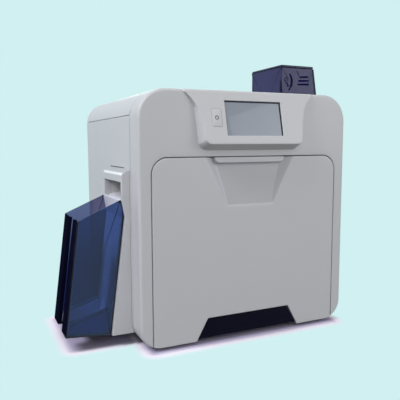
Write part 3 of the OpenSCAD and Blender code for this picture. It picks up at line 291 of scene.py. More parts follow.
# Moulded ABS with a fine spark-eroded grain: matt, with a broad soft sheen. The real grain of
# about 0.1 mm is drawn at 0.9 mm so that it shows.
CASING_ABS = Finish("casing_abs_spark_eroded", "#BABBBC", drift=0.012, roughness=0.42,
                    specular=0.35)
# Copies of the casing's finish that paint light and shade by which way faces turn: painted light
# on the exit housing's front flank, painted shade on the boss top, the console's underside and
# the finger grip, and a painted highlight along the boss's rounded upper edge.
FLANK_LIGHT_ABS = Finish("casing_abs_flank_painted_light", "#C5C6C8")
BOSS_SHADE_ABS = Finish("casing_abs_boss_top_painted_shade", "#A6A7AB")
RIM_HIGHLIGHT_ABS = Finish("casing_abs_boss_rim_painted_highlight", "#DFE0E4")
UNDER_SHADE_ABS = replace(CASING_ABS, name="casing_abs_under_painted_shade", colour="#ABA9A6", specular=0.3)
GRIP_PAINTED_SHADES = tuple(replace(CASING_ABS, name="grip_abs_painted_shade_" + side, colour=colour)
                    for side, colour in (("lit", "#B6B8BC"), ("floor", "#AAAAAC"),
                                         ("cheek", "#A6A6A8")))
INNER_ABS = Finish("inner_abs_smooth", "#DADAD6", roughness=0.35, grain_depth_mm=0.008)
BORDER_INK = Finish("screen_border_ink", "#1B1D2A", roughness=0.5, specular=0.2)
# Painted shadow lines of a moulded groove and of the gap over the exit boss, drawn darker
# because they are finer than the light can find.
SEAM_SHADE = Finish("groove_abs_shaded", "#8E8F95", roughness=0.6)
GAP_SHADOW_INK = Finish("gap_abs_painted_shadow", "#4B4C52", roughness=0.7, specular=0.1)
# Tinted polycarbonate of the two card hoppers.
TRAY_TINT = TintedShell("output_polycarbonate_navy", "#405B9E", "#0B0C22", 0.93,
                        (-218.7, -59.0, 115.9), (32.0, 46.0, 96.0), lean_deg=-7.5, edge_mm=3.4,
                        roughness=0.04)
TRAY_BACK = replace(TRAY_TINT, name="output_polycarbonate_rear", body="#727198", deep="#14152E",
                    edge_mm=2.4, specular=0.1, low="#20265A", low_z=(90.0, 195.0))
TRAY_DEEP = Finish("output_polycarbonate_edge", "#0D0E20", roughness=0.5, rough_drift=0.02,
                   grain_depth_mm=0.002, specular=0.0)
TRAY_INNER = Finish("output_polycarbonate_inner", "#D5D6DE", roughness=0.3, rough_drift=0.02,
                    grain_depth_mm=0.002, specular=0.2)
TRAY_RIB = Finish("output_polycarbonate_rib", "#E0E2F4", roughness=0.3)
FEED_TINT = TintedShell("input_polycarbonate_navy", "#3A3762", "#0E0E28", 0.25,
                        (116.0, -59.0, 354.5), (34.5, 44.5, 54.5), edge_mm=5.2, taper=0.16,
                        taper_z=6.5, specular=0.08, roughness=0.2)
FEED_LID = Finish("input_polycarbonate_lid", "#1D1B38", roughness=0.3, rough_drift=0.02,
                  grain_depth_mm=0.002, specular=0.25)
FEED_MARK = Finish("input_mark_relief", "#141340", roughness=0.6, grain_depth_mm=0.002,
                   specular=0.0)

NODE_FINISH: dict[str, Finish] = {node: finish for finish, nodes in (
    (CASING_ABS, "front_fascia left_side_cover right_side_cover rear_cover top_cover front_door "
                 "exit_housing power_button"),
    (INNER_ABS, "door_liner card_flipper"),
    (replace(INNER_ABS, name="chute_abs_smooth", colour="#BFC0C6"), "exit_chute"),
    (Finish("tray_abs_dark", "#3A3B40", roughness=0.5),
     "base_tray card_weight power_inlet power_switch power_rocker cooling_fan fan_rotor"),
    (Finish("plate_painted_navy", "#0B0819", roughness=0.45, rough_drift=0.03,
            grain_depth_mm=0.003, specular=0.05), "plinth_plate"),
    (Finish("feet_rubber", "#1C1C1E", roughness=0.8), "rubber_feet"),
    (Finish("roller_rubber_ground", "#28282B", roughness=0.7, grain_mm=0.6),
     "platen_roller backing_roller drive_roller_right drive_roller_left feed_roller drive_belt"),
    (Finish("screen_cover_glass", "#767C87", roughness=0.32, rough_drift=0.02,
            grain_depth_mm=0.0005, coat=0.2), "screen_glass"),
    (Finish("zinc_plated_sheet", "#B9BABD", metallic=1.0, roughness=0.34, drift=0.08,
            drift_mm=12.0),
     "front_chassis_plate rear_chassis_plate chassis_spacers gearbox_plate door_latch_catches "
     "power_supply screen_module"),
    (Finish("ground_steel", "#C8C9CC", metallic=1.0, roughness=0.16, stretch=(1.0, 12.0, 1.0)),
     "top_cover_hinge_pins door_hinge_pins pinch_roller_right pinch_roller_left "
     "transfer_roller motor_pulley casing_screws"),
    (Finish("cassette_abs", "#7C8BA6", roughness=0.4), "film_cassette ribbon_cassette"),
    (Finish("spool_wound_web", "#35363B", roughness=0.22, grain_mm=2.0,
            stretch=(1.0, 0.02, 1.0)),
     "film_supply_spool film_takeup_spool ribbon_supply_spool ribbon_takeup_spool"),
    (Finish("transfer_film", "#C6D2D8", roughness=0.1, transmission=0.6, ior=1.4), "film_web"),
    (Finish("ink_ribbon", "#3A2A50", roughness=0.2), "ribbon_web"),
    (Finish("head_cast_aluminium", "#A9AAAD", metallic=1.0, roughness=0.4), "print_head"),
    (Finish("motor_black_lacquer", "#232326", roughness=0.35),
     "belt_motor film_motor ribbon_motor"),
    (Finish("turned_brass", "#C9A14A", metallic=1.0, roughness=0.25),
     "film_pinion ribbon_pinion"),
    (Finish("circuit_board_green", "#1E5B36", roughness=0.3, drift=0.12, drift_mm=6.0),
     "main_board console_board"),
) for node in nodes.split()}


# ---- studio


def link(thing: bpy.types.Object) -> bpy.types.Object:
    """Puts an object in the scene and returns it."""
    bpy.context.scene.collection.objects.link(thing)
    return thing


def backdrop_rays(tree: Shader) -> Socket:
    """Returns 1 for the rays that should see the backdrop's own colour.

    Args:
        tree: The tree to add the nodes to.

    Returns:
        The output that holds it.
    """
    rays = tree.add("LightPath")
    seen = tree.math("MAXIMUM", rays["Is Camera Ray"], rays["Is Glossy Ray"])
    return tree.math("MAXIMUM", seen, rays["Is Transmission Ray"])


@dataclass(frozen=True)
class FloorPaper(Surface):
    """Pale paper that keeps the object's shadow, with a painted shadow that darkens it close to
    the object, and fades into the backdrop.

    The object stands on two boxes, each with its middle and its half size in millimetres: one
    for the body and one for the hopper beside it.
    """

    backdrop: str
    prints: tuple = (((0.0, 0.0), (150.0, 150.0)), ((-209.0, -24.0), (39.0, 69.0)))
    band_mm: tuple[float, float] = (9.0, 27.0)
    painted_shadow_mm: tuple[float, float] = (0.0, 15.0)
    # Paper colour at the object's foot and further out: a painted shadow that fades outwards.
    near: str = "#ADA7C0"
    far: str = "#F4ECF7"
    bounce: str = "#A2A1A8"

    def reach(self, tree: Shader) -> Socket:
        """Distance to the nearer box: |max(|p - middle| - half, 0)|, in metres.

        Args:
            tree: The tree to add the nodes to.

        Returns:
            The output that holds it.
        """
        place = tree.place()
        reaches = []
        for middle, half in self.prints:
            moved = tree.vector("SUBTRACT", place, (middle[0] * MM, middle[1] * MM, 0.0))
            past = tree.vector("SUBTRACT", tree.vector("ABSOLUTE", moved),
                               (half[0] * MM, half[1] * MM, 1.0))
            reaches.append(tree.vector("LENGTH", tree.vector("MAXIMUM", past)))
        return tree.math("MINIMUM", *reaches)

    def shader(self, tree: Shader) -> Socket:
        """Returns paper near the object, painted darker close to it as a painted shadow, and the
        backdrop's light away from it.

        Args:
            tree: The tree to add it to.

        Returns:
            The output of its shader node.
        """
        reach = self.reach(tree)
        tone = tree.blend(tree.step(reach, *self.painted_shadow_mm), linear(self.near), linear(self.far))
        diffuse = tree.add("LightPath")["Is Diffuse Ray"]
        paper = tree.add("BsdfDiffuse", {"Color": tree.blend(diffuse, tone, linear(self.bounce))})
        away = tree.add("Emission", {"Color": linear(self.backdrop), "Strength": 1.0})
        share = tree.math("MULTIPLY", tree.step(reach, *self.band_mm), backdrop_rays(tree))
        return tree.add("MixShader", {0: share, 1: paper[0], 2: away[0]})[0]


@dataclass(frozen=True)
class Lamp:
    """A square area lamp: its place, aim and side in metres, and its power in watts."""

    name: str
    place: Point
    aim: Point
    size: float
    watts: float
    colour: str = "#FFFFFF"

    def build(self) -> None:
        """Adds the lamp, turned to its aim."""
        data = bpy.data.lights.new(self.name, "AREA")
        data.shape = "SQUARE"
        data.size = self.size
        data.energy = self.watts
        data.color = linear(self.colour)[:3]
        lamp = link(bpy.data.objects.new(self.name, data))
        lamp.location = self.place
        ahead = Vector(self.aim) - Vector(self.place)
        lamp.rotation_euler = ahead.to_track_quat("-Z", "Y").to_euler()


@dataclass
class Studio:
    """Camera, backdrop, floor and lamps."""

    place_mm: Point = (-375.5, -784.4, 286.8)
    yaw_deg: float = 24.89
    pitch_deg: float = 6.38
    roll_deg: float = 0.20
    focal_px: float = 506.0
    frame_px: float = 400.0
    sensor_mm: float = 36.0
    backdrop: str = "#D1F0F1"
    room_light: str = "#F4F6F8"
    room_strength: float = 0.18
    floor_half: float = 6.0
    lamps: tuple[Lamp, ...] = (
        Lamp("side", (-1.6, -0.32, 1.65), (0.0, 0.0, 0.25), 0.8, 39.0, "#F9F8FF"),
        Lamp("right", (1.75, -1.9, 0.9), (0.0, 0.0, 0.2), 1.2, 19.0),
        Lamp("left", (-0.9, -2.4, 1.2), (0.0, 0.0, 0.2), 1.2, 15.5),
        Lamp("front", (0.5, -2.2, 2.0), (0.0, 0.0, 0.2), 1.2, 8.5),
        Lamp("above", (-0.35, -0.1, 2.1), (0.0, 0.0, 0.3), 1.0, 3.5),
        Lamp("behind", (0.9, 2.3, 1.3), (0.0, 0.0, 0.2), 1.2, 12.0),
    )

    def camera(self) -> None:
        """Places the camera by its yaw, pitch and roll."""
        data = bpy.data.cameras.new("camera")
        data.sensor_width = self.sensor_mm
        data.lens = self.focal_px / self.frame_px * self.sensor_mm
        data.clip_start = 0.01
        camera = link(bpy.data.objects.new("camera", data))
        camera.matrix_world = Matrix.Translation(Vector(self.place_mm) * MM)
        for turn_deg, axis in ((-self.yaw_deg, "Z"), (90.0 - self.pitch_deg, "X"),
                               (-self.roll_deg, "Z")):
            camera.matrix_world @= Matrix.Rotation(math.radians(turn_deg), 4, axis)
        bpy.context.scene.camera = camera

    def world(self) -> None:
        """A plain world: the backdrop's colour to the camera and a soft white light."""
        world = bpy.data.worlds.new("studio")
        world.use_nodes = True
        tree = Shader(world.node_tree)
        seen = tree.add("Background", {"Color": linear(self.backdrop), "Strength": 1.0})
        light = tree.add("Background", {"Color": linear(self.room_light),
                                        "Strength": self.room_strength})
        mix = tree.add("MixShader", {0: backdrop_rays(tree), 1: light[0], 2: seen[0]})
        tree.add("OutputWorld", {"Surface": mix[0]})
        bpy.context.scene.world = world

    def floor(self) -> None:
        """A large square of paper under the object."""
        size = self.floor_half
        mesh = bpy.data.meshes.new("floor")
        mesh.from_pydata([(-size, -size, 0), (size, -size, 0), (size, size, 0), (-size, size, 0)],
                         [], [(0, 1, 2, 3)])
        mesh.materials.append(FloorPaper("floor_paper", self.backdrop).build())
        floor = link(bpy.data.objects.new("floor", mesh))

    def build(self) -> None:
        """Sets up the whole studio."""
        self.camera()
        self.world()
        self.floor()
        for lamp in self.lamps:
            lamp.build()
        bpy.context.scene.view_settings.view_transform = "Standard"


# ---- surfaces


def xyz(x: np.ndarray | float, y: np.ndarray | float, z: np.ndarray | float) -> np.ndarray:
    """Joins three sets of coordinates into points."""
    return np.stack(np.broadcast_arrays(x, y, z), axis=-1).astype(float)


class Facing(Enum):
    """The axis that a flat plate faces. The value says which of u, v and h are x, y and z."""

    X = (2, 0, 1)
    Y = (0, 2, 1)
    Z = (0, 1, 2)

    def __call__(self, u: np.ndarray, v: np.ndarray, h: float) -> np.ndarray:
        """Points at u, v in the plate's plane and h along its axis."""
        return xyz(*((u, v, h)[i] for i in self.value))


def arc(cx: float, cz: float, r: float, start: float, end: float, count: int) -> np.ndarray:
    """Points of a circular arc: centre plus r times (cos a, sin a), angles in degrees."""
    turn = np.radians(np.linspace(start, end, count))
    return np.stack([cx + r * np.cos(turn), cz + r * np.sin(turn)], axis=1)


def quarter(count: int) -> np.ndarray:
    """Angles of a quarter turn in radians, without the first."""
    return np.radians(np.linspace(0.0, 90.0, count))[1:]


def line(start: Sequence[float], end: Sequence[float], count: int) -> np.ndarray:
    """Evenly spaced points from start to end, both included."""
    share = np.linspace(0.0, 1.0, count)[:, None]
    return (1.0 - share) * np.asarray(start, float) + share * np.asarray(end, float)


def chain(*pieces: np.ndarray) -> np.ndarray:
    """Joins point runs end to end, dropping each run's first point after the first run."""
    return np.concatenate([pieces[0]] + [piece[1:] for piece in pieces[1:]])


def mirrored(half: np.ndarray) -> np.ndarray:
    """Completes a run that ends at x = 0 with its own mirror image."""
    other = half[::-1] * np.array([-1.0] + [1.0] * (half.shape[1] - 1))
    return np.concatenate([half, other[1:]])


def raise_curve(curve: np.ndarray, y: np.ndarray | float) -> np.ndarray:
    """Turns a run of (x, z) points into (x, y, z) points."""
    return xyz(curve[:, 0], y, curve[:, 1])


def strip(x: np.ndarray, depths: Sequence[float], z: np.ndarray, turned: bool) -> np.ndarray:
    """A wall from depth to depth along x and z, facing the other way when turned."""
    rows = [xyz(x, y, z) for y in depths]
    return np.stack(rows[::-1] if turned else rows)


def smooth(work: bmesh.types.BMesh, sharp_deg: float) -> None:
    """Shades a mesh smooth, but for the edges that bend by sharp_deg or more.

    Args:
        work: The mesh.
        sharp_deg: Where smooth ends.
    """
    limit = math.radians(sharp_deg)
    for face in work.faces:
        face.smooth = True
    for edge in work.edges:
        edge.smooth = len(edge.link_faces) != 2 or edge.calc_face_angle(0.0) < limit


# Points nearer than WELD become one, and edges shorter than SLIVER go, in millimetres. A face
# that would share its neighbour's plane lies RELIEF off it.
WELD, SLIVER, RELIEF = 0.01, 0.002, 0.02


def skin(name: str, grids: Sequence[np.ndarray], finish: Surface, sharp_deg: float = 40.0,
         outward: bool = False) -> bpy.types.Object:
    """Makes one welded mesh of several grids of points.

    Each grid holds rows of columns of points in millimetres. A face joins each point with its
    next row and column. A point that is not a number leaves a hole.

    Args:
        name: Name of the new object.
        grids: Arrays of shape (rows, columns, 3).
        finish: Its finish.
        sharp_deg: Edges that bend more than this stay sharp.
        outward: Whether the normals are worked out afresh, for a closed shell.

    Returns:
        The object, linked to the scene.
    """
    faces, base = [], 0
    for grid in grids:
        rows, columns = grid.shape[:2]
        index = base + np.arange(rows * columns).reshape(rows, columns)
        quads = np.stack([index[:-1, :-1], index[:-1, 1:], index[1:, 1:], index[1:, :-1]],
                         axis=-1).reshape(-1, 4)
        whole = np.isfinite(grid.reshape(-1, 3)[quads - base]).all(axis=(1, 2))
        faces.append(quads[whole])
        base += rows * columns
    corners = np.concatenate([grid.reshape(-1, 3) for grid in grids])
    used, loops = np.unique(np.concatenate(faces), return_inverse=True)
    mesh = bpy.data.meshes.new(name)
    mesh.from_pydata((corners[used] * MM).tolist(), [], loops.reshape(-1, 4).tolist())
    work = bmesh.new()
    work.from_mesh(mesh)
    bmesh.ops.remove_doubles(work, verts=work.verts, dist=WELD * MM)
    bmesh.ops.dissolve_degenerate(work, edges=work.edges, dist=SLIVER * MM)
    if outward:
        bmesh.ops.recalc_face_normals(work, faces=work.faces)
    smooth(work, sharp_deg)
    work.to_mesh(mesh)
    work.free()
    mesh.materials.append(finish.build())
    return link(bpy.data.objects.new(name, mesh))


def thicken(piece: bpy.types.Object, wall_mm: float) -> None:
    """Gives a skin its wall, on the side away from its normals.

    Args:
        piece: The skin.
        wall_mm: Thickness of the wall.
    """
    modifier = piece.modifiers.new("wall", "SOLIDIFY")
    modifier.thickness = wall_mm * MM
    modifier.offset = -1.0
    modifier.use_even_offset = False


def shade(piece: bpy.types.Object, finish: Finish,
          where: Callable[[Vector, Vector], bool]) -> None:
    """Gives some of a piece's faces another finish.

    Args:
        piece: The piece to change.
        finish: Finish of the faces that pass the test.
        where: Test of a face by its normal and by its centre in millimetres.
    """
    piece.data.materials.append(finish.build())
    for face in piece.data.polygons:
        if where(face.normal, face.center / MM):
            face.material_index = len(piece.data.materials) - 1


def body_name(frame: dict, node: str) -> str:
    """Returns the body that a node rides on, from the record."""
    bodies = frame["record"]["behaviour"]["bodies"]
    return next(body for body, nodes in bodies.items() if node in nodes)


def attach(frame: dict, node: str, pieces: Sequence[bpy.types.Object],
           stands_for: bool = True) -> None:
    """Rides pieces on a node's body, and hides the node when they stand for it.

    Args:
        node: Name of the node.
        pieces: The pieces.
        stands_for: Whether they are seen in place of the node.
    """
    for piece in pieces:
        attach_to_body(piece, body_name(frame, node))
        if stands_for:
            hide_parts(node)
        LOG.info("built %s", piece.name)


# ---- front of the casing


@dataclass
class FrontFascia:
    """The deep ring round the door, with a soft outer edge and a rolled inner lip."""

    half_w: float = 170.0
    top: float = 360.0
    top_r: float = 40.0
    low: float = 4.0
    low_r: float = 29.0
    front: float = -150.0
    seam: float = -114.0
    edge_r: float = 4.0
    lip_r: float = 1.0
    door_half: float = 152.6
    door_top: float = 268.6
    door_r: float = 23.6
    pocket: tuple[float, ...] = (6.0, 12.0, 18.5)
    wall: float = 2.2
    # Points on the foot, side, corner and half top of every outline, which have to agree.
    counts: tuple[int, ...] = (14, 30, 26, 40)

    def outer(self, inset: float) -> np.ndarray:
        """Outline of the body, drawn in by inset, from one foot over the top to the other.

        Args:
            inset: How far it is drawn in.

        Returns:
            x and z of its points.
        """
        cx, cz = self.half_w - self.low_r, self.low + self.low_r
        tx, tz = self.half_w - self.top_r, self.top - self.top_r
        r, side = self.low_r - inset, self.half_w - inset
        foot = 180.0 + math.degrees(math.acos((self.door_half - cx) / r))
        n = self.counts
        return mirrored(chain(
            arc(-cx, cz, r, foot, 180.0, n[0]), line((-side, cz), (-side, tz), n[1]),
            arc(-tx, tz, self.top_r - inset, 180.0, 90.0, n[2]),
            line((-tx, self.top - inset), (0.0, self.top - inset), n[3])))

    def inner(self, grown: float) -> np.ndarray:
        """Outline of the door opening, grown by a given width.

        Args:
            grown: That width.

        Returns:
            x and z of its points, as many as the outer outline has.
        """
        cx, cz = self.half_w - self.low_r, self.low + self.low_r
        tx, tz = self.door_half - self.door_r, self.door_top - self.door_r
        x, top = self.door_half + grown, self.door_top + grown
        low = cz - math.sqrt((self.low_r - self.edge_r) ** 2 - (self.door_half - cx) ** 2)
        n = self.counts
        half = chain(line((-x, low), (-x, cz), n[0]), line((-x, cz), (-x, tz), n[1]),
                     arc(-tx, tz, self.door_r + grown, 180.0, 90.0, n[2]),
                     line((-tx, top), (0.0, top), n[3]))
        half[0, 0] = -self.door_half
        return mirrored(half)

    def build(self) -> bpy.types.Object:
        """Carries the section from the seam over the edge and the face into the door pocket.

        Returns:
            The new piece.
        """
        rows = [(self.outer(0.0), y)
                for y in np.linspace(self.seam, self.front + self.edge_r, 7)]
        rows += [(self.outer(self.edge_r * (1.0 - math.cos(turn))),
                  self.front + self.edge_r * (1.0 - math.sin(turn))) for turn in quarter(9)]
        edge, lip = self.outer(self.edge_r), self.inner(self.lip_r)
        rows += [((1.0 - share) * edge + share * lip, self.front)
                 for share in np.linspace(0.0, 1.0, 13)[1:]]
        rows += [(self.inner(self.lip_r * (1.0 - math.sin(turn))),
                  self.front + self.lip_r * (1.0 - math.cos(turn))) for turn in quarter(5)]
        rows += [(self.inner(0.0), self.front + depth) for depth in self.pocket]
        grid = np.stack([raise_curve(curve, y) for curve, y in rows])
        piece = skin("front_ring", [grid[::-1]], CASING_ABS)
        thicken(piece, self.wall)
        return piece


@dataclass
class Console:
    """The swelling that carries the screen: its flanks flare out and run over the top edge."""

    base_y: float = -150.0
    low_y: float = -169.0
    face_low: float = 285.5
    face_high: float = 358.0
    high_y: float = -152.0
    crown_z: float = 356.0
    crown_r: float = 4.0
    face_r: float = 9.0
    foot_low: float = 277.5
    foot_r: float = 13.0
    side_z: tuple[float, ...] = (356.0, 350.0, 344.0, 338.0, 332.0, 312.0, 291.5)
    face_half: tuple[float, ...] = (104.0, 97.5, 92.5, 88.8, 86.5, 82.0, 78.5)
    foot_half: tuple[float, ...] = (106.6, 99.6, 94.8, 91.2, 89.2, 86.2, 83.5)
    screen_half_w: float = 46.0
    screen_half_h: float = 25.0
    rim: float = 0.6
    softness: float = 0.06
    reach: float = 0.10
    stand_off: float = 0.2
    sunk: float = 8.0
    sunk_dip: float = 0.3
    # Points beside the strip above the screen, beside the screen, on a corner and below.
    above: int = 9
    beside: int = 34
    round: int = 16
    below: int = 36
    # Neighbours on each side that even out a side's width, and the screen frame's section.
    evened: int = 3
    frame: tuple[tuple[float, float], ...] = (
        (1.1, -0.03), (0.55, 0.0), (0.2, -0.12), (0.0, -0.5), (0.0, -1.7))

    def __post_init__(self) -> None:
        """Works out the lean of the face and the screen's place on it."""
        self.slope = (self.high_y - self.low_y) / (self.face_high - self.face_low)
        self.lean = math.atan(self.slope)
        self.screen_z = (self.face_low + self.face_high) / 2.0
        self.screen_dz = self.screen_half_h * math.cos(self.lean)

    def face_y(self, z: np.ndarray | float) -> np.ndarray | float:
        """Depth of the leaning face at a height."""
        return self.low_y + (z - self.face_low) * self.slope

    def on_face(self, x: np.ndarray, v: np.ndarray, h: np.ndarray | float) -> np.ndarray:
        """Points at x, v up the face from the screen's middle, and h out of it.

        Args:
            x: Places across the face.
            v: Places up the face.
            h: Heights over the face.

        Returns:
            The points.
        """
        up, out = math.cos(self.lean), math.sin(self.lean)
        return xyz(x, self.face_y(self.screen_z) + v * out - h * up,
                   self.screen_z + v * up + h * out)

    def window(self, grown: Sequence[float], h: float) -> np.ndarray:
        """The screen's outline at height h, grown to the left and right, below and above.

        Args:
            grown: Growth on these four sides.
            h: Height over the face.

        Returns:
            A closed ring of points.
        """
        left, right, low, high = grown
        w, v = self.screen_half_w, self.screen_half_h
        loop = np.array([(-w - left, -v - low), (w + right, -v - low), (w + right, v + high),
                         (-w - left, v + high), (-w - left, -v - low)])
        return self.on_face(loop[:, 0], loop[:, 1], h)

    def share_down(self, high: float, low: float) -> np.ndarray:
        """Heights down one side, with a point at the screen's upper edge on every curve.

        Args:
            high: Where the side starts.
            low: Where it ends.

        Returns:
            The heights, from high to low.
        """
        split = self.screen_z + self.screen_dz + self.rim
        ratio = (high - split) / (high - (self.screen_z - self.screen_dz))
        knot = high + (low - high) * ratio
        return np.concatenate([np.linspace(high, knot, self.above),
                               np.linspace(knot, low, self.beside)[1:]])

    def round_under(self, x: np.ndarray, z: np.ndarray, cx: float, low: float,
                    radius: float) -> np.ndarray:
        """Carries a left side x, z round its lower corner and mirrors it.

        Args:
            x: Places down the side.
            z: Heights down the side.
            cx: Half the width between the corners' centres.
            low: Height of the lower edge.
            radius: Radius of the corner.

        Returns:
            x and z of the whole outline.
        """
        return mirrored(chain(np.stack([x, z], axis=1),
                              arc(-cx, low + radius, radius, 180.0, 270.0, self.round),
                              line((-cx, low), (0.0, low), self.below)))

    def flared(self, halves: Sequence[float], low: float, radius: float) -> np.ndarray:
        """An outline that flares out to the top and has round lower corners.

        Args:
            halves: Its half widths at the heights side_z.
            low: Height of its lower edge.
            radius: Radius of its lower corners.

        Returns:
            x and z of its points, from the upper left round to the upper right.
        """
        z = self.share_down(self.crown_z, low + radius)
        half = np.interp(z, self.side_z[::-1], halves[::-1])
        reach = self.evened
        even = np.convolve(np.pad(half, reach, mode="edge"),
                           np.full(2 * reach + 1, 1.0 / (2 * reach + 1)), mode="valid")
        even[0], even[-1] = half[0], half[-1]
        return self.round_under(-even, z, even[-1] - radius, low, radius)

    def hole(self) -> np.ndarray:
        """The sides and lower edge of the screen opening, carried on up to the crown.

        Returns:
            x and z of its points.
        """
        low = self.screen_z - self.screen_dz
        z = self.share_down(self.crown_z, low)
        x = np.full_like(z, -self.screen_half_w - self.rim)
        return self.round_under(x, z, self.screen_half_w, low - self.rim, self.rim)

    def swell(self, share: float) -> float:
        """Height from foot to face: a straight flank with a soft hollow and a soft edge.

        Args:
            share: 0 at the foot and 1 at the face.

        Returns:
            The height's share.
        """
        low, high, here = (0.5 * (1.0 + math.hypot(u, self.softness)
                                  - math.hypot(1.0 - u, self.softness))
                           for u in (-self.reach, 1.0 + self.reach, share))
        return (here - low) / (high - low)

    def crown(self, row: np.ndarray) -> np.ndarray:
        """Carries both ends of a row over the top edge and sinks them into it.

        Args:
            row: Points of the row.

        Returns:
            The longer row.
        """
        turn = np.radians(np.array([90.0, 67.0, 45.0, 22.0]))
        out, up = self.crown_r * (1.0 - np.cos(turn)), self.crown_r * np.sin(turn)
        end_y, end_z = self.base_y + self.sunk, self.crown_z + self.crown_r - self.sunk_dip
        first, last = (xyz(x, np.append(end_y, y + out), np.append(end_z, z + up))
                       for x, y, z in (row[0], row[-1]))
        return np.concatenate([first, row, last[::-1]])

    def build(self) -> list[bpy.types.Object]:
        """Returns the shell with its screen opening, and the frame round the screen.

        Returns:
            The new pieces.
        """
        foot = self.flared(self.foot_half, self.foot_low, self.foot_r)
        face = self.flared(self.face_half, self.face_low, self.face_r)
        hole = self.hole()
        rows = []
        for share in np.linspace(-self.reach, 1.0 + self.reach, 27):
            curve = (1.0 - share) * foot + share * face
            stand = (self.face_y(curve[:, 1]) - self.base_y) * self.swell(share)
            rows.append(self.crown(raise_curve(curve, self.base_y + self.stand_off + stand)))
        start = -self.reach * foot + (1.0 + self.reach) * face
        for share in np.linspace(0.0, 1.0, 11)[1:]:
            curve = (1.0 - share) * start + share * hole
            rows.append(self.crown(raise_curve(curve, self.face_y(curve[:, 1]))))
        left, right = (row[:5 + self.above, None] for row in (rows[-1], rows[-1][::-1]))
        share = np.linspace(0.0, 1.0, 40)[None, :, None]
        bridge = (1.0 - share) * left + share * right
        rings = [self.window([grown] * 4, h) for grown, h in self.frame]
        return [skin("console_shell", [np.stack(rows), bridge[::-1]], CASING_ABS),
                skin("screen_frame", [np.stack(rings)], CASING_ABS, sharp_deg=60.0)]


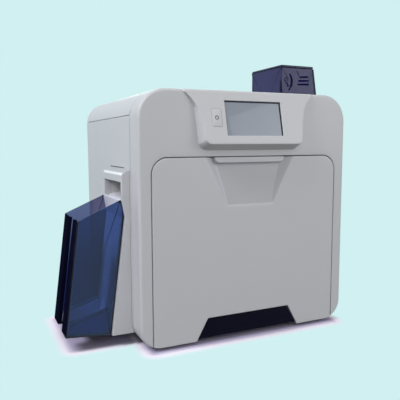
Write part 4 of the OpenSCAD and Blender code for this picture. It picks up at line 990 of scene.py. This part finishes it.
@dataclass
class Door:
    """The drop-down door: a wide shell with rolled edges and a moulded finger grip."""

    half_w: float = 151.5
    low: float = 5.0
    top: float = 267.5
    r: float = 22.5
    front: float = -150.0
    back: float = -134.0
    low_r: float = 28.0
    low_inset: float = 10.5
    roll: float = 1.4
    roll_steps: tuple[float, ...] = (0.0, 0.06, 0.25, 0.6, 1.0, 1.4)
    notch_low: float = 6.0
    notch_top: float = 36.5
    notch_low_half: float = 85.5
    notch_top_half: float = 68.6
    notch_depth: float = 7.0
    grip_depth: float = 7.5
    grip_low: float = 197.0
    grip_top_half: float = 76.0
    grip_low_half: float = 42.0
    grip_bow: float = 0.12
    grip_flare: float = 1.2
    cheek_low: float = 6.0
    cheek_more: float = 14.0
    grip_seen: float = 0.35
    bar_half: float = 57.0
    bar_low: float = 260.3
    bar_r: float = 7.0
    bar_roll: float = 1.6
    side_mid: float = -142.0
    top_mid: float = -140.0
    top_slope: float = 2.0

    def half(self, z: np.ndarray) -> np.ndarray:
        """Half the width at a height: round upper corners, and the body's round feet.

        Args:
            z: The heights.

        Returns:
            Half the width at each.
        """
        over = np.clip(z - (self.top - self.r), 0.0, self.r)
        upper = self.half_w - self.r + np.sqrt(self.r ** 2 - over ** 2)
        under = np.clip(self.low + self.low_r - z, 0.0, self.low_r)
        lower = self.half_w - self.low_inset + np.sqrt(self.low_r ** 2 - under ** 2)
        return np.minimum(np.minimum(upper, lower), self.half_w)

    def notch(self, z: np.ndarray) -> np.ndarray:
        """Half the width of the notch for the plate, carried on above it."""
        return np.interp(z, (self.notch_low, self.notch_top),
                         (self.notch_low_half, self.notch_top_half))

    def grip(self, x: np.ndarray, z: np.ndarray) -> np.ndarray:
        """Depth of the finger grip: open at the top but for a bar, and running out below.

        The floor falls back as t + bow sqrt(t (1 - t)) over the height share t. The bar's
        outline is a round-cornered box, with a short quarter round beneath it.

        Args:
            x: Places across the door.
            z: Heights of the same points.

        Returns:
            The depths, 0 outside the grip.
        """
        rise = np.clip((z - self.grip_low) / (self.top - self.grip_low), 0.0, 1.0)
        floor = self.grip_depth * (rise + self.grip_bow * np.sqrt(rise * (1.0 - rise)))
        outer = (self.grip_low_half
                 + (self.grip_top_half - self.grip_low_half) * rise ** self.grip_flare)
        cheek = self.cheek_low + self.cheek_more * rise
        side = np.clip((outer - np.abs(x)) / cheek, 0.0, 1.0)
        out_x = np.abs(x) - (self.bar_half - self.bar_r)
        out_z = (self.bar_low + self.bar_r) - z
        away = np.hypot(np.maximum(out_x, 0.0), np.maximum(out_z, 0.0)) \
            + np.minimum(np.maximum(out_x, out_z), 0.0) - self.bar_r
        drop = np.clip(away / self.bar_roll, 0.0, 1.0)
        under = 1.0 - np.sqrt(np.maximum(1.0 - drop ** 2, 0.0))
        return floor * side * side * (3.0 - 2.0 * side) * under

    def gap(self, x: np.ndarray, z: np.ndarray) -> np.ndarray:
        """Distance to the outline: straight sides and top, round upper corners, the notch.

        Args:
            x: Places across the door.
            z: Heights of the same points.

        Returns:
            The distances, 0 or less inside the notch.
        """
        dx = np.abs(x) - (self.half_w - self.r)
        dz = z - (self.top - self.r)
        corner = self.r - np.hypot(np.maximum(dx, 0.0), np.maximum(dz, 0.0))
        inside = np.minimum(self.half(z) - np.abs(x), self.top - z)
        outline = np.where((dx > 0) & (dz > 0), corner, inside)
        notch = self.notch(z)
        aside = np.where(z < self.notch_top, np.abs(x) - notch, 99.0)
        above = np.where(np.abs(x) < notch, z - self.notch_top, 99.0)
        return np.minimum(outline, np.minimum(np.maximum(aside, 0.0), np.maximum(above, 0.0)))

    def heights(self) -> np.ndarray:
        """Heights of the rows, close together at the edges, the bar and the round corners.

        Returns:
            The heights, in rising order.
        """
        edge, bar = np.array(self.roll_steps), self.bar_low - self.bar_roll
        corner = self.top - self.r + self.r * np.sin(np.radians(np.linspace(0.0, 90.0, 26)))
        spans = [self.low + edge, np.linspace(self.low + 2.2, self.notch_top - self.roll, 16),
                 self.notch_top - edge[::-1], self.notch_top + edge,
                 np.linspace(self.notch_top + 3.0, self.grip_low, 40),
                 np.linspace(self.grip_low, bar, 52), np.linspace(bar, self.top, 42), corner,
                 self.top - edge]
        return np.unique(np.round(np.concatenate(spans), 3))

    def columns(self, z: np.ndarray) -> np.ndarray:
        """Column places: left of the notch, across it and right of it, at each height.

        Args:
            z: The heights.

        Returns:
            A row of places for each height.
        """
        edge = np.array(self.roll_steps)[None, :]
        half = self.half(z)[:, None]
        notch = np.minimum(self.notch(z)[:, None], half - 2.0 * self.roll)
        share = np.linspace(0.0, 1.0, 34)[1:-1][None, :]
        left = np.concatenate([-half + edge, (-half + self.roll) * (1 - share)
                               + (-notch - self.roll) * share, -notch - edge[:, ::-1]], 1)
        span = np.linspace(-1.0, 1.0, 150)[1:-1][None, :]
        return np.concatenate([left, notch * span, -left[:, ::-1]], axis=1)

    def walls(self, z: np.ndarray, rim: np.ndarray) -> list[np.ndarray]:
        """Walls from the rolled edge back: the sides, the top and the notch with its floor.

        Args:
            z: Heights of the rows.
            rim: Points of the top row, with the grip's dip in it.

        Returns:
            A grid for each wall.
        """
        edge, floor = self.front + self.roll, self.front + self.notch_depth
        low = np.linspace(self.low, self.notch_top, 14)
        wide = np.linspace(-1.0, 1.0, 30)
        across = self.notch(low)[:, None] * wide[None, :]
        x, y, top_z = rim.T
        top = np.stack([rim, xyz(x, np.maximum(y + self.top_slope, self.top_mid), top_z),
                        xyz(x, self.back, top_z)])
        sides = [strip(s * self.half(z), (edge, self.side_mid, self.back), z, s > 0)
                 for s in (-1, 1)]
        cheeks = [strip(s * self.notch(low), (edge, floor), low, s < 0) for s in (-1, 1)]
        roof = strip(self.notch_top_half * wide, (edge, floor),
                     np.full_like(wide, self.notch_top), True)
        return [*sides, top, *cheeks, roof, xyz(across, floor, low[:, None])]

    def build(self) -> bpy.types.Object:
        """Front surface with its edges rolled back, the notch left open, and its walls.

        Returns:
            The new piece.
        """
        z = self.heights()
        x = self.columns(z)
        zz = np.broadcast_to(z[:, None], x.shape)
        near = self.roll - np.clip(self.gap(x, zz), 0.0, self.roll)
        rolled = self.roll - np.sqrt(np.maximum(self.roll ** 2 - near ** 2, 0.0))
        in_notch = (zz < self.notch_top) & (np.abs(x) < self.notch(zz) - 1e-6)
        y = np.where(in_notch, np.nan, self.front + rolled + self.grip(x, zz))
        face = xyz(x, y, zz)
        piece = skin("door_shell", [face, *self.walls(z, face[-1])], CASING_ABS)
        self.shade_grip(piece)
        return piece

    def shade_grip(self, piece: bpy.types.Object) -> None:
        """Paints shade into the finger grip: its left cheek, floor and right cheek get darker
        copies of the casing's finish, darkest on the right cheek.

        Args:
            piece: The door's shell.
        """
        for finish in GRIP_PAINTED_SHADES:
            piece.data.materials.append(finish.build())
        x, y, z = np.array([face.center[:] for face in piece.data.polygons]).T / MM
        turn = np.array([face.normal[:] for face in piece.data.polygons])
        deep = (self.grip(x, z) > self.grip_seen) & (z > self.grip_low) & (y < self.back + 3.0)
        side = np.select([(turn[:, 0] > 0.12) | (turn[:, 2] < -0.2), turn[:, 0] < -0.12],
                         [1, 3], 2)
        for face, index in zip(piece.data.polygons, np.where(deep, side, 0)):
            face.material_index = int(index)


@dataclass
class ScreenBorder:
    """The black print round the edge of the screen glass, behind the opening's frame.

    The glass sits a little to the right and high in its opening, so the print is wide there and
    hidden at the left and below.
    """

    console: Console
    widths: tuple[float, ...] = (-0.2, 2.6, -0.2, 2.2)
    outside: float = 1.0
    depth: float = -1.74

    def build(self) -> bpy.types.Object:
        """A flat frame that lies on the glass, as wide as widths says: left, right, low, high.

        Returns:
            The new piece.
        """
        rings = [self.console.window(grown, self.depth)
                 for grown in ([self.outside] * 4, [-width for width in self.widths])]
        return skin("screen_border", [np.stack(rings)], BORDER_INK)


@dataclass
class PowerButton:
    """The power button's pad in its groove, with the power sign printed on it."""

    console: Console
    x: float = -60.1
    half_w: float = 7.2
    half_h: float = 12.5
    corner_r: float = 2.0
    groove: float = 0.45
    proud: float = 0.3
    sign_r: float = 2.4
    sign_line: float = 1.0
    sign_v: float = 0.1
    sign_h: float = 0.06
    bar_low: float = 0.6
    bar_over: float = 0.9
    flank: tuple[tuple[float, float], ...] = ((0.0, -0.6), (0.0, 0.05), (-0.1, 0.22))
    pad_in: float = 0.35

    def outline(self, grown: float) -> np.ndarray:
        """Closed rounded outline in the face's own axes.

        Args:
            grown: How far it is grown past the pad.

        Returns:
            Places across and up the face, the first repeated.
        """
        w, v, r = self.half_w + grown, self.half_h + grown, max(self.corner_r + grown, 0.2)
        runs = [arc(right * (w - r), up * (v - r), r, start, start + 90.0, 8)
                for right, up, start in ((1, 1, 0.0), (-1, 1, 90.0), (-1, -1, 180.0),
                                         (1, -1, 270.0))]
        return np.concatenate([*runs, runs[0][:1]])

    def loft(self, section: Sequence[tuple[float, float]]) -> list[np.ndarray]:
        """Carries a section of (grown, height) pairs round the outline."""
        return [self.console.on_face(self.x + loop[:, 0], loop[:, 1], h)
                for loop, h in ((self.outline(grown), h) for grown, h in section)]

    def sign(self) -> list[np.ndarray]:
        """An open ring with a bar at its gap, laid on the pad.

        Returns:
            The grids of the ring and of the bar.
        """
        turn, half = np.radians(np.linspace(125.0, 415.0, 40)), self.sign_line / 2
        runs = [[(r * np.cos(turn), r * np.sin(turn)) for r in (self.sign_r + half,
                                                                self.sign_r - half)],
                [(np.array([-half, half]), v) for v in (self.bar_low,
                                                        self.sign_r + self.bar_over)]]
        return [np.stack([self.console.on_face(self.x + u, self.sign_v + v,
                                               self.proud + self.sign_h)
                          for u, v in run]) for run in runs]

    def build(self) -> list[bpy.types.Object]:
        """Returns the groove's painted shadow line, the pad and the sign.

        Returns:
            The new pieces.
        """
        # The groove is a dark ring laid just over the face: a painted shadow line.
        groove = self.loft([(self.groove + 0.1, RELIEF), (-0.1, RELIEF)])
        pad = self.loft([*self.flank, (-self.pad_in, self.proud)])
        pad.append(np.broadcast_to(pad[-1].mean(axis=0), pad[-1].shape))
        return [skin("button_groove_shadow", [np.stack(groove)], SEAM_SHADE, sharp_deg=50.0),
                skin("button_pad", [np.stack(pad)], CASING_ABS, sharp_deg=50.0),
                skin("power_sign", self.sign(), BORDER_INK)]


# ---- card hoppers


def rounded(corners: Sequence[Sequence[float]], radius: float | Sequence[float],
            count: int = 5) -> np.ndarray:
    """Rounds the corners of a closed outline.

    Each corner is replaced by the quadratic curve (1-t)^2 A + 2t(1-t) C + t^2 B between two
    points on its sides.

    Args:
        corners: Its corners, in order.
        radius: Distance from each corner to the curve's ends, one or one for each corner.
        count: Points on each curve.

    Returns:
        The outline's points, without the first repeated.
    """
    c = np.asarray(corners, float)
    reach = np.broadcast_to(np.asarray(radius, float), (len(c),))[:, None]
    a, b = (c + way / np.linalg.norm(way, axis=1, keepdims=True) * reach
            for way in (np.roll(c, 1, 0) - c, np.roll(c, -1, 0) - c))
    t = np.linspace(0.0, 1.0, count)[None, :, None]
    return ((1 - t) ** 2 * a[:, None] + 2 * t * (1 - t) * c[:, None]
            + t ** 2 * b[:, None]).reshape(-1, 2)


def rectangle(u0: float, v0: float, u1: float, v1: float,
              radius: float | Sequence[float]) -> np.ndarray:
    """Outline of a rectangle from u0, v0 to u1, v1 with rounded corners."""
    return rounded([(u0, v0), (u1, v0), (u1, v1), (u0, v1)], radius)


def signed_area(outline: np.ndarray) -> float:
    """Area of a closed outline, positive when it runs to the left."""
    u, v = outline.T
    return 0.5 * float(np.sum(u * np.roll(v, -1) - np.roll(u, -1) * v))


def drawn_in(outline: np.ndarray, inset: float) -> np.ndarray:
    """Moves a convex outline's points inwards along its normals, and closes it.

    Args:
        outline: The outline.
        inset: How far they move.

    Returns:
        The new outline, with the first point repeated.
    """
    along = np.roll(outline, -1, 0) - np.roll(outline, 1, 0)
    normal = np.stack([-along[:, 1], along[:, 0]], axis=1)
    normal /= np.maximum(np.linalg.norm(normal, axis=1, keepdims=True), 1e-9)
    loop = outline + normal * inset * math.copysign(1.0, signed_area(outline))
    return np.concatenate([loop, loop[:1]])


# A plate's edge takes at most EDGE_SHARE of the outline's thinness, and a bit under half of its
# height. The ring inside it lies FLAT further in, or PAD_SHARE of the thinness at most.
EDGE_SHARE, PAD_SHARE, FLAT = 0.3, 0.45, 0.8
UNDER_HALF = 1.0 / 2.2


def slab(outline: np.ndarray, low: float, high: float, edge: float,
         place: Callable[[np.ndarray, np.ndarray, float], np.ndarray]) -> np.ndarray:
    """Rings of a plate with rounded edges, from the middle of one face to the other's.

    The outline's thinness is 2 x area / length round it. A ring a little inside the edge keeps
    the shading of each flat side apart from the edge's.

    Args:
        outline: Convex outline in the plate's own plane.
        low: Where the plate starts, across that plane.
        high: Where it ends.
        edge: Radius of its edges.
        place: Turns two arrays of outline coordinates and a height into points.

    Returns:
        One grid, closed round the outline.
    """
    length = np.linalg.norm(np.roll(outline, -1, 0) - outline, axis=1).sum()
    thin = 2.0 * abs(signed_area(outline)) / length
    edge = min(edge, EDGE_SHARE * thin, (high - low) * UNDER_HALF)
    pad = min(edge + FLAT, PAD_SHARE * thin)
    bend = [(edge * (1 - math.sin(t)), edge * (1 - math.cos(t)))
            for t in (0.0, *quarter(4))]
    steps = [(pad, low), *((inset, low + rise) for inset, rise in bend),
             *((rise, high - inset) for inset, rise in bend), (pad, high)]
    rings = [place(*drawn_in(outline, inset).T, h) for inset, h in steps]
    first, last = (np.broadcast_to(ring[:-1].mean(axis=0), ring.shape)
                   for ring in (rings[0], rings[-1]))
    return np.stack([first, *rings, last])


def barrel(x0: float, x1: float, y: float, z: float, r: float) -> np.ndarray:
    """Rings of a bar along X with rounded ends.

    Args:
        x0: Its left end.
        x1: Its right end.
        y: Place of its axis.
        z: Height of its axis.
        r: Its radius.

    Returns:
        One ring for each step along it.
    """
    turn, end = np.radians(np.linspace(0.0, 360.0, 33)), 0.4
    return np.stack([xyz(x, y + size * np.cos(turn), z + size * np.sin(turn)) for x, size in
                     ((x0, 0.0), (x0, r - end), (x0 + end, r), (x1 - end, r), (x1, r - end),
                      (x1, 0.0))])


@dataclass
class OutputTray:
    """The leaning output hopper, as plates in its own frame: u outwards, w up its wall."""

    foot_x: float = -199.3
    foot_z: float = 18.0
    lean_deg: float = 7.5
    front: float = -105.0
    back: float = -13.0
    wall: float = 1.5
    width: float = 64.0
    drop: float = 3.4
    outer_h: float = 158.0
    inner_h: float = 192.0
    step: float = 7.2
    shoulder: float = 168.0
    slot_low: float = -75.0
    slot_high: float = -43.0
    lip: float = 5.5
    floor: float = 2.0
    edge: float = 0.6
    corner: float = 0.8
    # How far a plate stays short of the walls it meets, and the bars beside the slot.
    gap: float = 0.4
    end_gap: float = 0.5
    lip_w: float = 2.0
    lip_drop: float = 1.2
    slot_reach: float = 20.0
    hook_w: tuple[float, ...] = (44.0, 140.0)
    hook_y: tuple[float, ...] = (-89.0, -35.0)
    hook: tuple[float, ...] = (5.0, 6.0, 10.0)
    rib_y: tuple[float, ...] = (-99.0, -82.0, -38.0, -21.0)
    rib: float = 2.0
    rib_h: tuple[float, ...] = (5.0, 7.0, 33.0)

    def at(self, u: np.ndarray, y: np.ndarray, w: np.ndarray) -> np.ndarray:
        """Points of the hopper's own frame, as points of the whole."""
        c, s = math.cos(math.radians(self.lean_deg)), math.sin(math.radians(self.lean_deg))
        return xyz(self.foot_x - u * c + w * s, y, self.foot_z + u * s + w * c)

    def upright(self, y0: float, y1: float, w0: float, w1: float, u0: float, u1: float
                ) -> np.ndarray:
        """A plate that faces outwards."""
        return slab(rectangle(y0, w0, y1, w1, self.corner), u0, u1, self.edge,
                    lambda y, w, u: self.at(u, y, w))

    def across(self, outline: np.ndarray, y0: float, y1: float) -> np.ndarray:
        """A plate that faces the front or the back."""
        return slab(outline, y0, y1, self.edge, lambda u, w, y: self.at(u, y, w))

    def floor_part(self, y0: float, y1: float, reach: float) -> np.ndarray:
        """A stretch of the sloping floor, out to reach.

        Args:
            y0: Where it starts.
            y1: Where it ends.
            reach: How far out it goes.

        Returns:
            One closed grid.
        """
        dip = self.drop / self.width
        start = self.end_gap
        return self.across(rounded([(start, 0.0), (reach, -dip * reach),
                                    (reach, self.floor - dip * reach), (start, self.floor)],
                                   self.gap), y0, y1)

    def build(self) -> list[bpy.types.Object]:
        """Returns the see-through walls, the deep outer strips, the inner walls and the ribs.

        Returns:
            The new pieces.
        """
        inside, low, high, far = self.wall, self.slot_low, self.slot_high, self.width
        gap, end, bar, near = self.gap, self.end_gap, self.lip_w, 1.0
        side = rounded([(0.0, 0.0), (far, -self.drop), (far, self.outer_h),
                        (self.step, self.inner_h), (0.0, self.shoulder)],
                       [1.0, 1.6, 1.6, 1.2, 1.0])
        strips = [self.upright(y0, y1, 0.6 - self.drop, self.outer_h - gap, far - inside, far)
                  for y0, y1 in ((self.front, low), (high, self.back))]
        lips = [self.upright(y0, y1, end, self.outer_h - self.lip_drop, far - self.lip, far)
                for y0, y1 in ((low - bar, low), (high, high + bar))]
        inner = self.upright(self.front + end, self.back - end, gap, self.shoulder - gap / 2,
                             RELIEF, inside)
        crest = self.across(rounded([(0.0, self.shoulder - near),
                                     (inside, self.shoulder - near),
                                     (self.step + 1.6, self.inner_h - near),
                                     (self.step, self.inner_h)], gap / 2),
                            self.front + end, self.back - end)
        out, deep, tall = self.hook
        hooks = [self.across(rectangle(-out, w, end, w + tall, 0.6), y, y + deep)
                 for w in self.hook_w for y in self.hook_y]
        floors = [self.floor_part(self.front + gap, low, far - gap),
                  self.floor_part(low - gap / 2, high + gap / 2, far - self.slot_reach),
                  self.floor_part(high, self.back - gap, far - gap)]
        toe, knee, top = self.rib_h
        rest = rounded([(near, near), (far - near, near - self.drop), (far - near, toe),
                        (far - 4.0, knee), (4.0, top), (near, top)], 0.5)
        ribs = [self.across(rest, y, y + self.rib) for y in self.rib_y]
        front = self.across(side, self.front, self.front + inside)
        rear = self.across(side, self.back - inside, self.back)
        return [skin("tray_" + name, grids, finish, outward=True) for name, grids, finish in (
            ("front_wall", [front], TRAY_TINT), ("rear_wall", [rear], TRAY_BACK),
            ("outer_strips", [*strips, *lips], TRAY_DEEP),
            ("inner_wall", [inner, crest, *hooks], TRAY_INNER),
            ("floor", floors, TRAY_DEEP), ("rest_ribs", ribs, TRAY_RIB))]


@dataclass
class InputHopper:
    """The tapered input hopper and its hinged lid, with marks that show how cards go in."""

    left: float = 81.5
    low_right: float = 150.5
    top_right: float = 143.5
    front: float = -103.5
    back: float = -14.5
    floor: float = 300.0
    bend: float = 361.0
    top: float = 405.0
    lid: float = 4.0
    lid_edge: float = 1.2
    wall: float = 1.5
    edge: float = 0.5
    ledge_x: tuple[float, float] = (131.0, 150.0)
    ledge_h: float = 1.8
    lid_gap: float = 0.3
    lid_corners: tuple[float, ...] = (1.5, 3.0, 3.0, 1.5)
    skirt: float = 3.0
    pin_out: float = 2.5
    pin_r: float = 2.4
    # The hinge's barrel, from the left wall: the hopper's two stretches and the lid's inset.
    pin_runs: tuple[tuple[float, float], ...] = ((2.0, 12.0), (50.0, 60.0))
    pin_lid: float = 12.4
    # x and z of the marks: the card's curve, the ring's centre and size, the arrow, the bars.
    card_bow: tuple[tuple[float, float], ...] = ((96.2, 395.6), (102.6, 391.0),
                                                 (104.6, 380.0), (95.6, 370.0))
    ring: tuple[tuple[float, float], ...] = ((90.6, 386.4), (2.6, 2.9))
    arrow: tuple[tuple[float, float], ...] = ((89.6, 379.6), (93.0, 382.0), (94.0, 376.4))
    arrow_foot: tuple[tuple[float, float], ...] = ((91.8, 376.0), (97.0, 377.4))
    bars: tuple[tuple[float, float, float], ...] = (
        (116.0, 133.0, 391.4), (114.4, 134.0, 385.4), (113.2, 134.8, 379.8))
    bar_w: float = 2.2
    bar_rise: float = 0.9
    tick: tuple[tuple[float, float], ...] = ((110.6, 401.5), (115.0, 394.0))

    def right_wall(self) -> np.ndarray:
        """The bent right wall, as one run of sections up its outer side.

        Returns:
            One closed grid, from the front to the back.
        """
        outer = np.array([(self.low_right, self.floor), (self.low_right, self.bend - 4.0),
                          (self.low_right - 0.2, self.bend),
                          (self.low_right - 0.64, self.bend + 4.0), (self.top_right, self.top)])
        inner = outer - np.array([self.wall, 0.0])
        loop = np.concatenate([outer, inner[::-1], outer[:1]])
        rows = [raise_curve(loop, y) for y in (self.front + RELIEF, self.back - RELIEF)]
        first, last = (np.broadcast_to(row.mean(axis=0), row.shape) for row in rows)
        return np.stack([first, *rows, last])

    def knuckle(self, x0: float, x1: float) -> np.ndarray:
        """A stretch of the hinge's barrel."""
        return barrel(x0, x1, self.back + self.pin_out, self.top, self.pin_r)

    def hopper(self) -> bpy.types.Object:
        """Walls and ledge of the hopper.

        Returns:
            The new piece.
        """
        side = rounded([(self.left, self.floor), (self.low_right, self.floor),
                        (self.low_right, self.bend), (self.top_right, self.top),
                        (self.left, self.top)], [0.5, 0.5, 6.0, 0.8, 0.5])
        front = slab(side, self.front, self.front + self.wall, self.edge, Facing.Y)
        rear = slab(side, self.back - self.wall, self.back, self.edge, Facing.Y)
        left = slab(rectangle(self.front, self.floor, self.back, self.top, 0.5),
                    self.left + RELIEF, self.left + self.wall, self.edge, Facing.X)
        ledge = slab(rectangle(self.ledge_x[0], self.front + 1, self.ledge_x[1], self.back - 1,
                               0.5),
                     self.floor, self.floor + self.ledge_h, self.edge, Facing.Z)
        knuckles = [self.knuckle(self.left + x0, self.left + x1)
                    for x0, x1 in self.pin_runs]
        return skin("feed_walls", [front, rear, left, self.right_wall(), ledge, *knuckles],
                    FEED_TINT, outward=True)

    def cover(self) -> bpy.types.Object:
        """Lid with round upper corners, and the skirt that drops into the hopper.

        Returns:
            The new piece.
        """
        top = slab(rectangle(self.left, self.front, self.top_right, self.back,
                             self.lid_corners),
                   self.top + self.lid_gap, self.top + self.lid, self.lid_edge, Facing.Z)
        skirt = slab(rectangle(self.left + 2, self.front + 2, self.top_right - 3, self.back - 4,
                               1.0),
                     self.top - self.skirt, self.top + 1.0, self.edge, Facing.Z)
        knuckle = self.knuckle(self.left + self.pin_lid, self.top_right - self.pin_lid)
        return skin("feed_lid", [top, skirt, knuckle], FEED_LID, outward=True)

    def stroke(self, path: np.ndarray, widths: np.ndarray | float) -> np.ndarray:
        """A raised stroke of changing width along a path on the front wall.

        Args:
            path: x and z of its points.
            widths: Its width, or one for each point.

        Returns:
            One grid across the stroke.
        """
        along = np.gradient(path, axis=0)
        along /= np.linalg.norm(along, axis=1, keepdims=True)
        side = (np.stack([-along[:, 1], along[:, 0]]) * widths * 0.65).T
        return np.stack([raise_curve(path + side * share, self.front - out) for share, out in
                         ((-1.0, 0.0), (-0.85, 0.24), (0.0, 0.28), (0.85, 0.24), (1.0, 0.0))])

    def marks(self) -> bpy.types.Object:
        """A turning card, a ring, a small arrow and three bars, as on a loading sign.

        Returns:
            The new piece.
        """
        share = np.linspace(0.0, 1.0, 18)
        t, (start, pull, push, end) = share[:, None], np.array(self.card_bow)
        card = ((1 - t) ** 3 * start + 3 * t * (1 - t) ** 2 * pull
                + 3 * t ** 2 * (1 - t) * push + t ** 3 * end)
        turn, (x, z), (wide, tall) = np.radians(np.linspace(0.0, 360.0, 25)), *self.ring
        tail, tip, hook = self.arrow
        strokes = [(card, 1.2 + 2.0 * np.sin(np.pi * share)),
                   (np.stack([x + wide * np.cos(turn), z + tall * np.sin(turn)], 1), 1.0),
                   (chain(line(tail, tip, 4), line(tip, hook, 6)), 1.2),
                   (line(*self.arrow_foot, 4), 1.3),
                   *((line((x0, low), (x1, low + self.bar_rise), 6), self.bar_w)
                     for x0, x1, low in self.bars),
                   (line(*self.tick, 6), np.linspace(0.5, 1.6, 6))]
        return skin("feed_marks", [self.stroke(*stroke) for stroke in strokes], FEED_MARK,
                    sharp_deg=50.0)


# ---- dressing the frame's nodes

SOFT_EDGES: dict[str, float] = {
    "exit_housing": 1.0, "plinth_plate": 0.7, "left_side_cover": 0.35,
    "right_side_cover": 0.35, "top_cover": 0.35, "rear_cover": 0.35, "exit_chute": 0.5,
}
# The boss over the card exit has a broad round along its upper outer edge.
WIDE_EDGES = {"exit_housing": (Vector((-183.0, -125.0, 236.0)), Vector((-179.0, 5.0, 250.0)), 4.0)}


def softened(frame: dict, node: str, sharp_deg: float = 28.0) -> bpy.types.Object:
    """Copies a node, merges its mesh and rounds its sharp edges.

    Args:
        node: Name of the node to copy, from SOFT_EDGES.
        sharp_deg: Only edges that bend more than this are rounded.

    Returns:
        The new piece, which stands for the node.
    """
    width, wide = SOFT_EDGES[node], WIDE_EDGES.get(node)
    mesh = frame["nodes"][node].data.copy()
    mesh.name = node + "_soft"
    work = bmesh.new()
    work.from_mesh(mesh)
    bmesh.ops.remove_doubles(work, verts=work.verts, dist=0.005 * MM)
    bmesh.ops.dissolve_limit(work, angle_limit=math.radians(0.6), verts=work.verts,
                             edges=work.edges)
    smooth(work, sharp_deg)
    if wide is not None:
        low, high, broad = wide
        share = work.edges.layers.float.new("bevel_weight_edge")
        for edge in (e for e in work.edges if not e.smooth):
            inside = all(low[i] <= v.co[i] / MM <= high[i] for v in edge.verts for i in range(3))
            edge[share] = 1.0 if inside else width / broad
        width = broad
    work.to_mesh(mesh)
    work.free()
    custom = mesh.attributes.get("custom_normal")
    if custom is not None:
        mesh.attributes.remove(custom)
    piece = link(bpy.data.objects.new(node + "_soft", mesh))
    bevel = piece.modifiers.new("edges", "BEVEL")
    bevel.width = width * MM
    bevel.segments = 4 if wide else 3
    bevel.limit_method = "WEIGHT" if wide else "ANGLE"
    bevel.angle_limit = math.radians(sharp_deg)
    bevel.harden_normals = True
    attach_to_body(piece, body_name(frame, node))
    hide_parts(node)
    return piece


# Height over which the exit housing is its boss. The cheeks' outline in x and z, their low
# sides in y and their wall. The painted shadow of the gap over the boss: its outline in y and z,
# and its sides in x.
BOSS_LOW = 240.0
CHEEK_BOX, CHEEK_LOWS, CHEEK_WALL = (-169.9, 203.6, -149.0, 233.9), (-15.2, -104.3), 1.5
GAP_SHADOW_BOX, GAP_SHADOW_SIDES = (-84.0, 252.0, -12.0, 253.3), (-170.12, -169.6)


def shade_exit(piece: bpy.types.Object) -> None:
    """Makes the exit housing's rounded edges part of its mesh, and paints light and shade on it:
    painted light on its front flank, painted shade on the boss top and a painted highlight
    along the boss's rounded upper edge.

    Args:
        piece: The softened housing.
    """
    mesh = bpy.data.meshes.new_from_object(
        piece.evaluated_get(bpy.context.evaluated_depsgraph_get()))
    mesh.name = piece.data.name
    piece.modifiers.clear()
    piece.data = mesh
    # Painted light: the housing's front-facing faces get a lighter copy of the casing's finish.
    shade(piece, FLANK_LIGHT_ABS, lambda normal, centre: normal.y < -0.9)
    # Painted shade: the boss's upward faces get a darker copy of the casing's finish.
    shade(piece, BOSS_SHADE_ABS, lambda normal, centre: normal.z > 0.5 and centre.z > BOSS_LOW)
    # Painted highlight: the faces of the round along the boss's upper outer edge get a pale
    # finish.
    shade(piece, RIM_HIGHLIGHT_ABS, lambda normal, centre: 0.1 < normal.z < 0.88 and normal.x < -0.47
          and centre.z > BOSS_LOW)


def dress_nodes(frame: dict) -> None:
    """Gives every node its finish, and rounds the ones in SOFT_EDGES.
    """
    for name, finish in NODE_FINISH.items():
        node = frame["nodes"][name]
        node.data.materials.clear()
        node.data.materials.append(finish.build())
        if name in SOFT_EDGES:
            piece = softened(frame, name)
            if name == "exit_housing":
                shade_exit(piece)
        LOG.info("dressed %s", name)


def dress_exit(frame: dict) -> None:
    """Adds the cheeks between the exit and its chute, and a dark strip laid on the cover over the
    boss: the painted shadow of a gap.
    """
    cheek, opening = rectangle(*CHEEK_BOX, 0.3), rectangle(*GAP_SHADOW_BOX, 0.4)
    cheeks = skin("exit_cheeks", [slab(cheek, low, low + CHEEK_WALL, 0.1, Facing.Y)
                                  for low in CHEEK_LOWS], INNER_ABS, outward=True)
    gap = skin("exit_housing_gap_shadow", [slab(opening, *GAP_SHADOW_SIDES, 0.05, Facing.X)], GAP_SHADOW_INK,
               outward=True)
    attach(frame, "exit_housing", [cheeks], stands_for=False)
    attach(frame, "left_side_cover", [gap], stands_for=False)


def dress_front(frame: dict) -> None:
    """Builds the fascia, console, door, screen border and power button over their nodes.
    """
    console = Console()
    fascia = [FrontFascia().build(), *console.build()]
    # Painted shade: the console's downward faces get a darker copy of the casing's finish.
    shade(fascia[1], UNDER_SHADE_ABS, lambda normal, centre: normal.z < -0.35)
    attach(frame, "front_fascia", fascia)
    attach(frame, "screen_glass", [ScreenBorder(console).build()],
           stands_for=False)
    attach(frame, "front_door", [Door().build()])
    groove, *button = PowerButton(console).build()
    attach(frame, "front_fascia", [groove], stands_for=False)
    attach(frame, "power_button", button)


def dress_hoppers(frame: dict) -> None:
    """Builds both hoppers and the lid over their nodes.
    """
    feed = InputHopper()
    marks = feed.marks()
    attach(frame, "output_hopper", OutputTray().build())
    attach(frame, "input_hopper", [feed.hopper(), marks])
    attach(frame, "input_hopper_lid", [feed.cover()])


def main() -> None:
    """Builds the printer's looks round the frame."""
    logging.basicConfig(level=logging.INFO, format="%(message)s")
    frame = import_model()
    Studio().build()
    dress_nodes(frame)
    dress_front(frame)
    dress_exit(frame)
    dress_hoppers(frame)


if __name__ == "__main__":
    main()
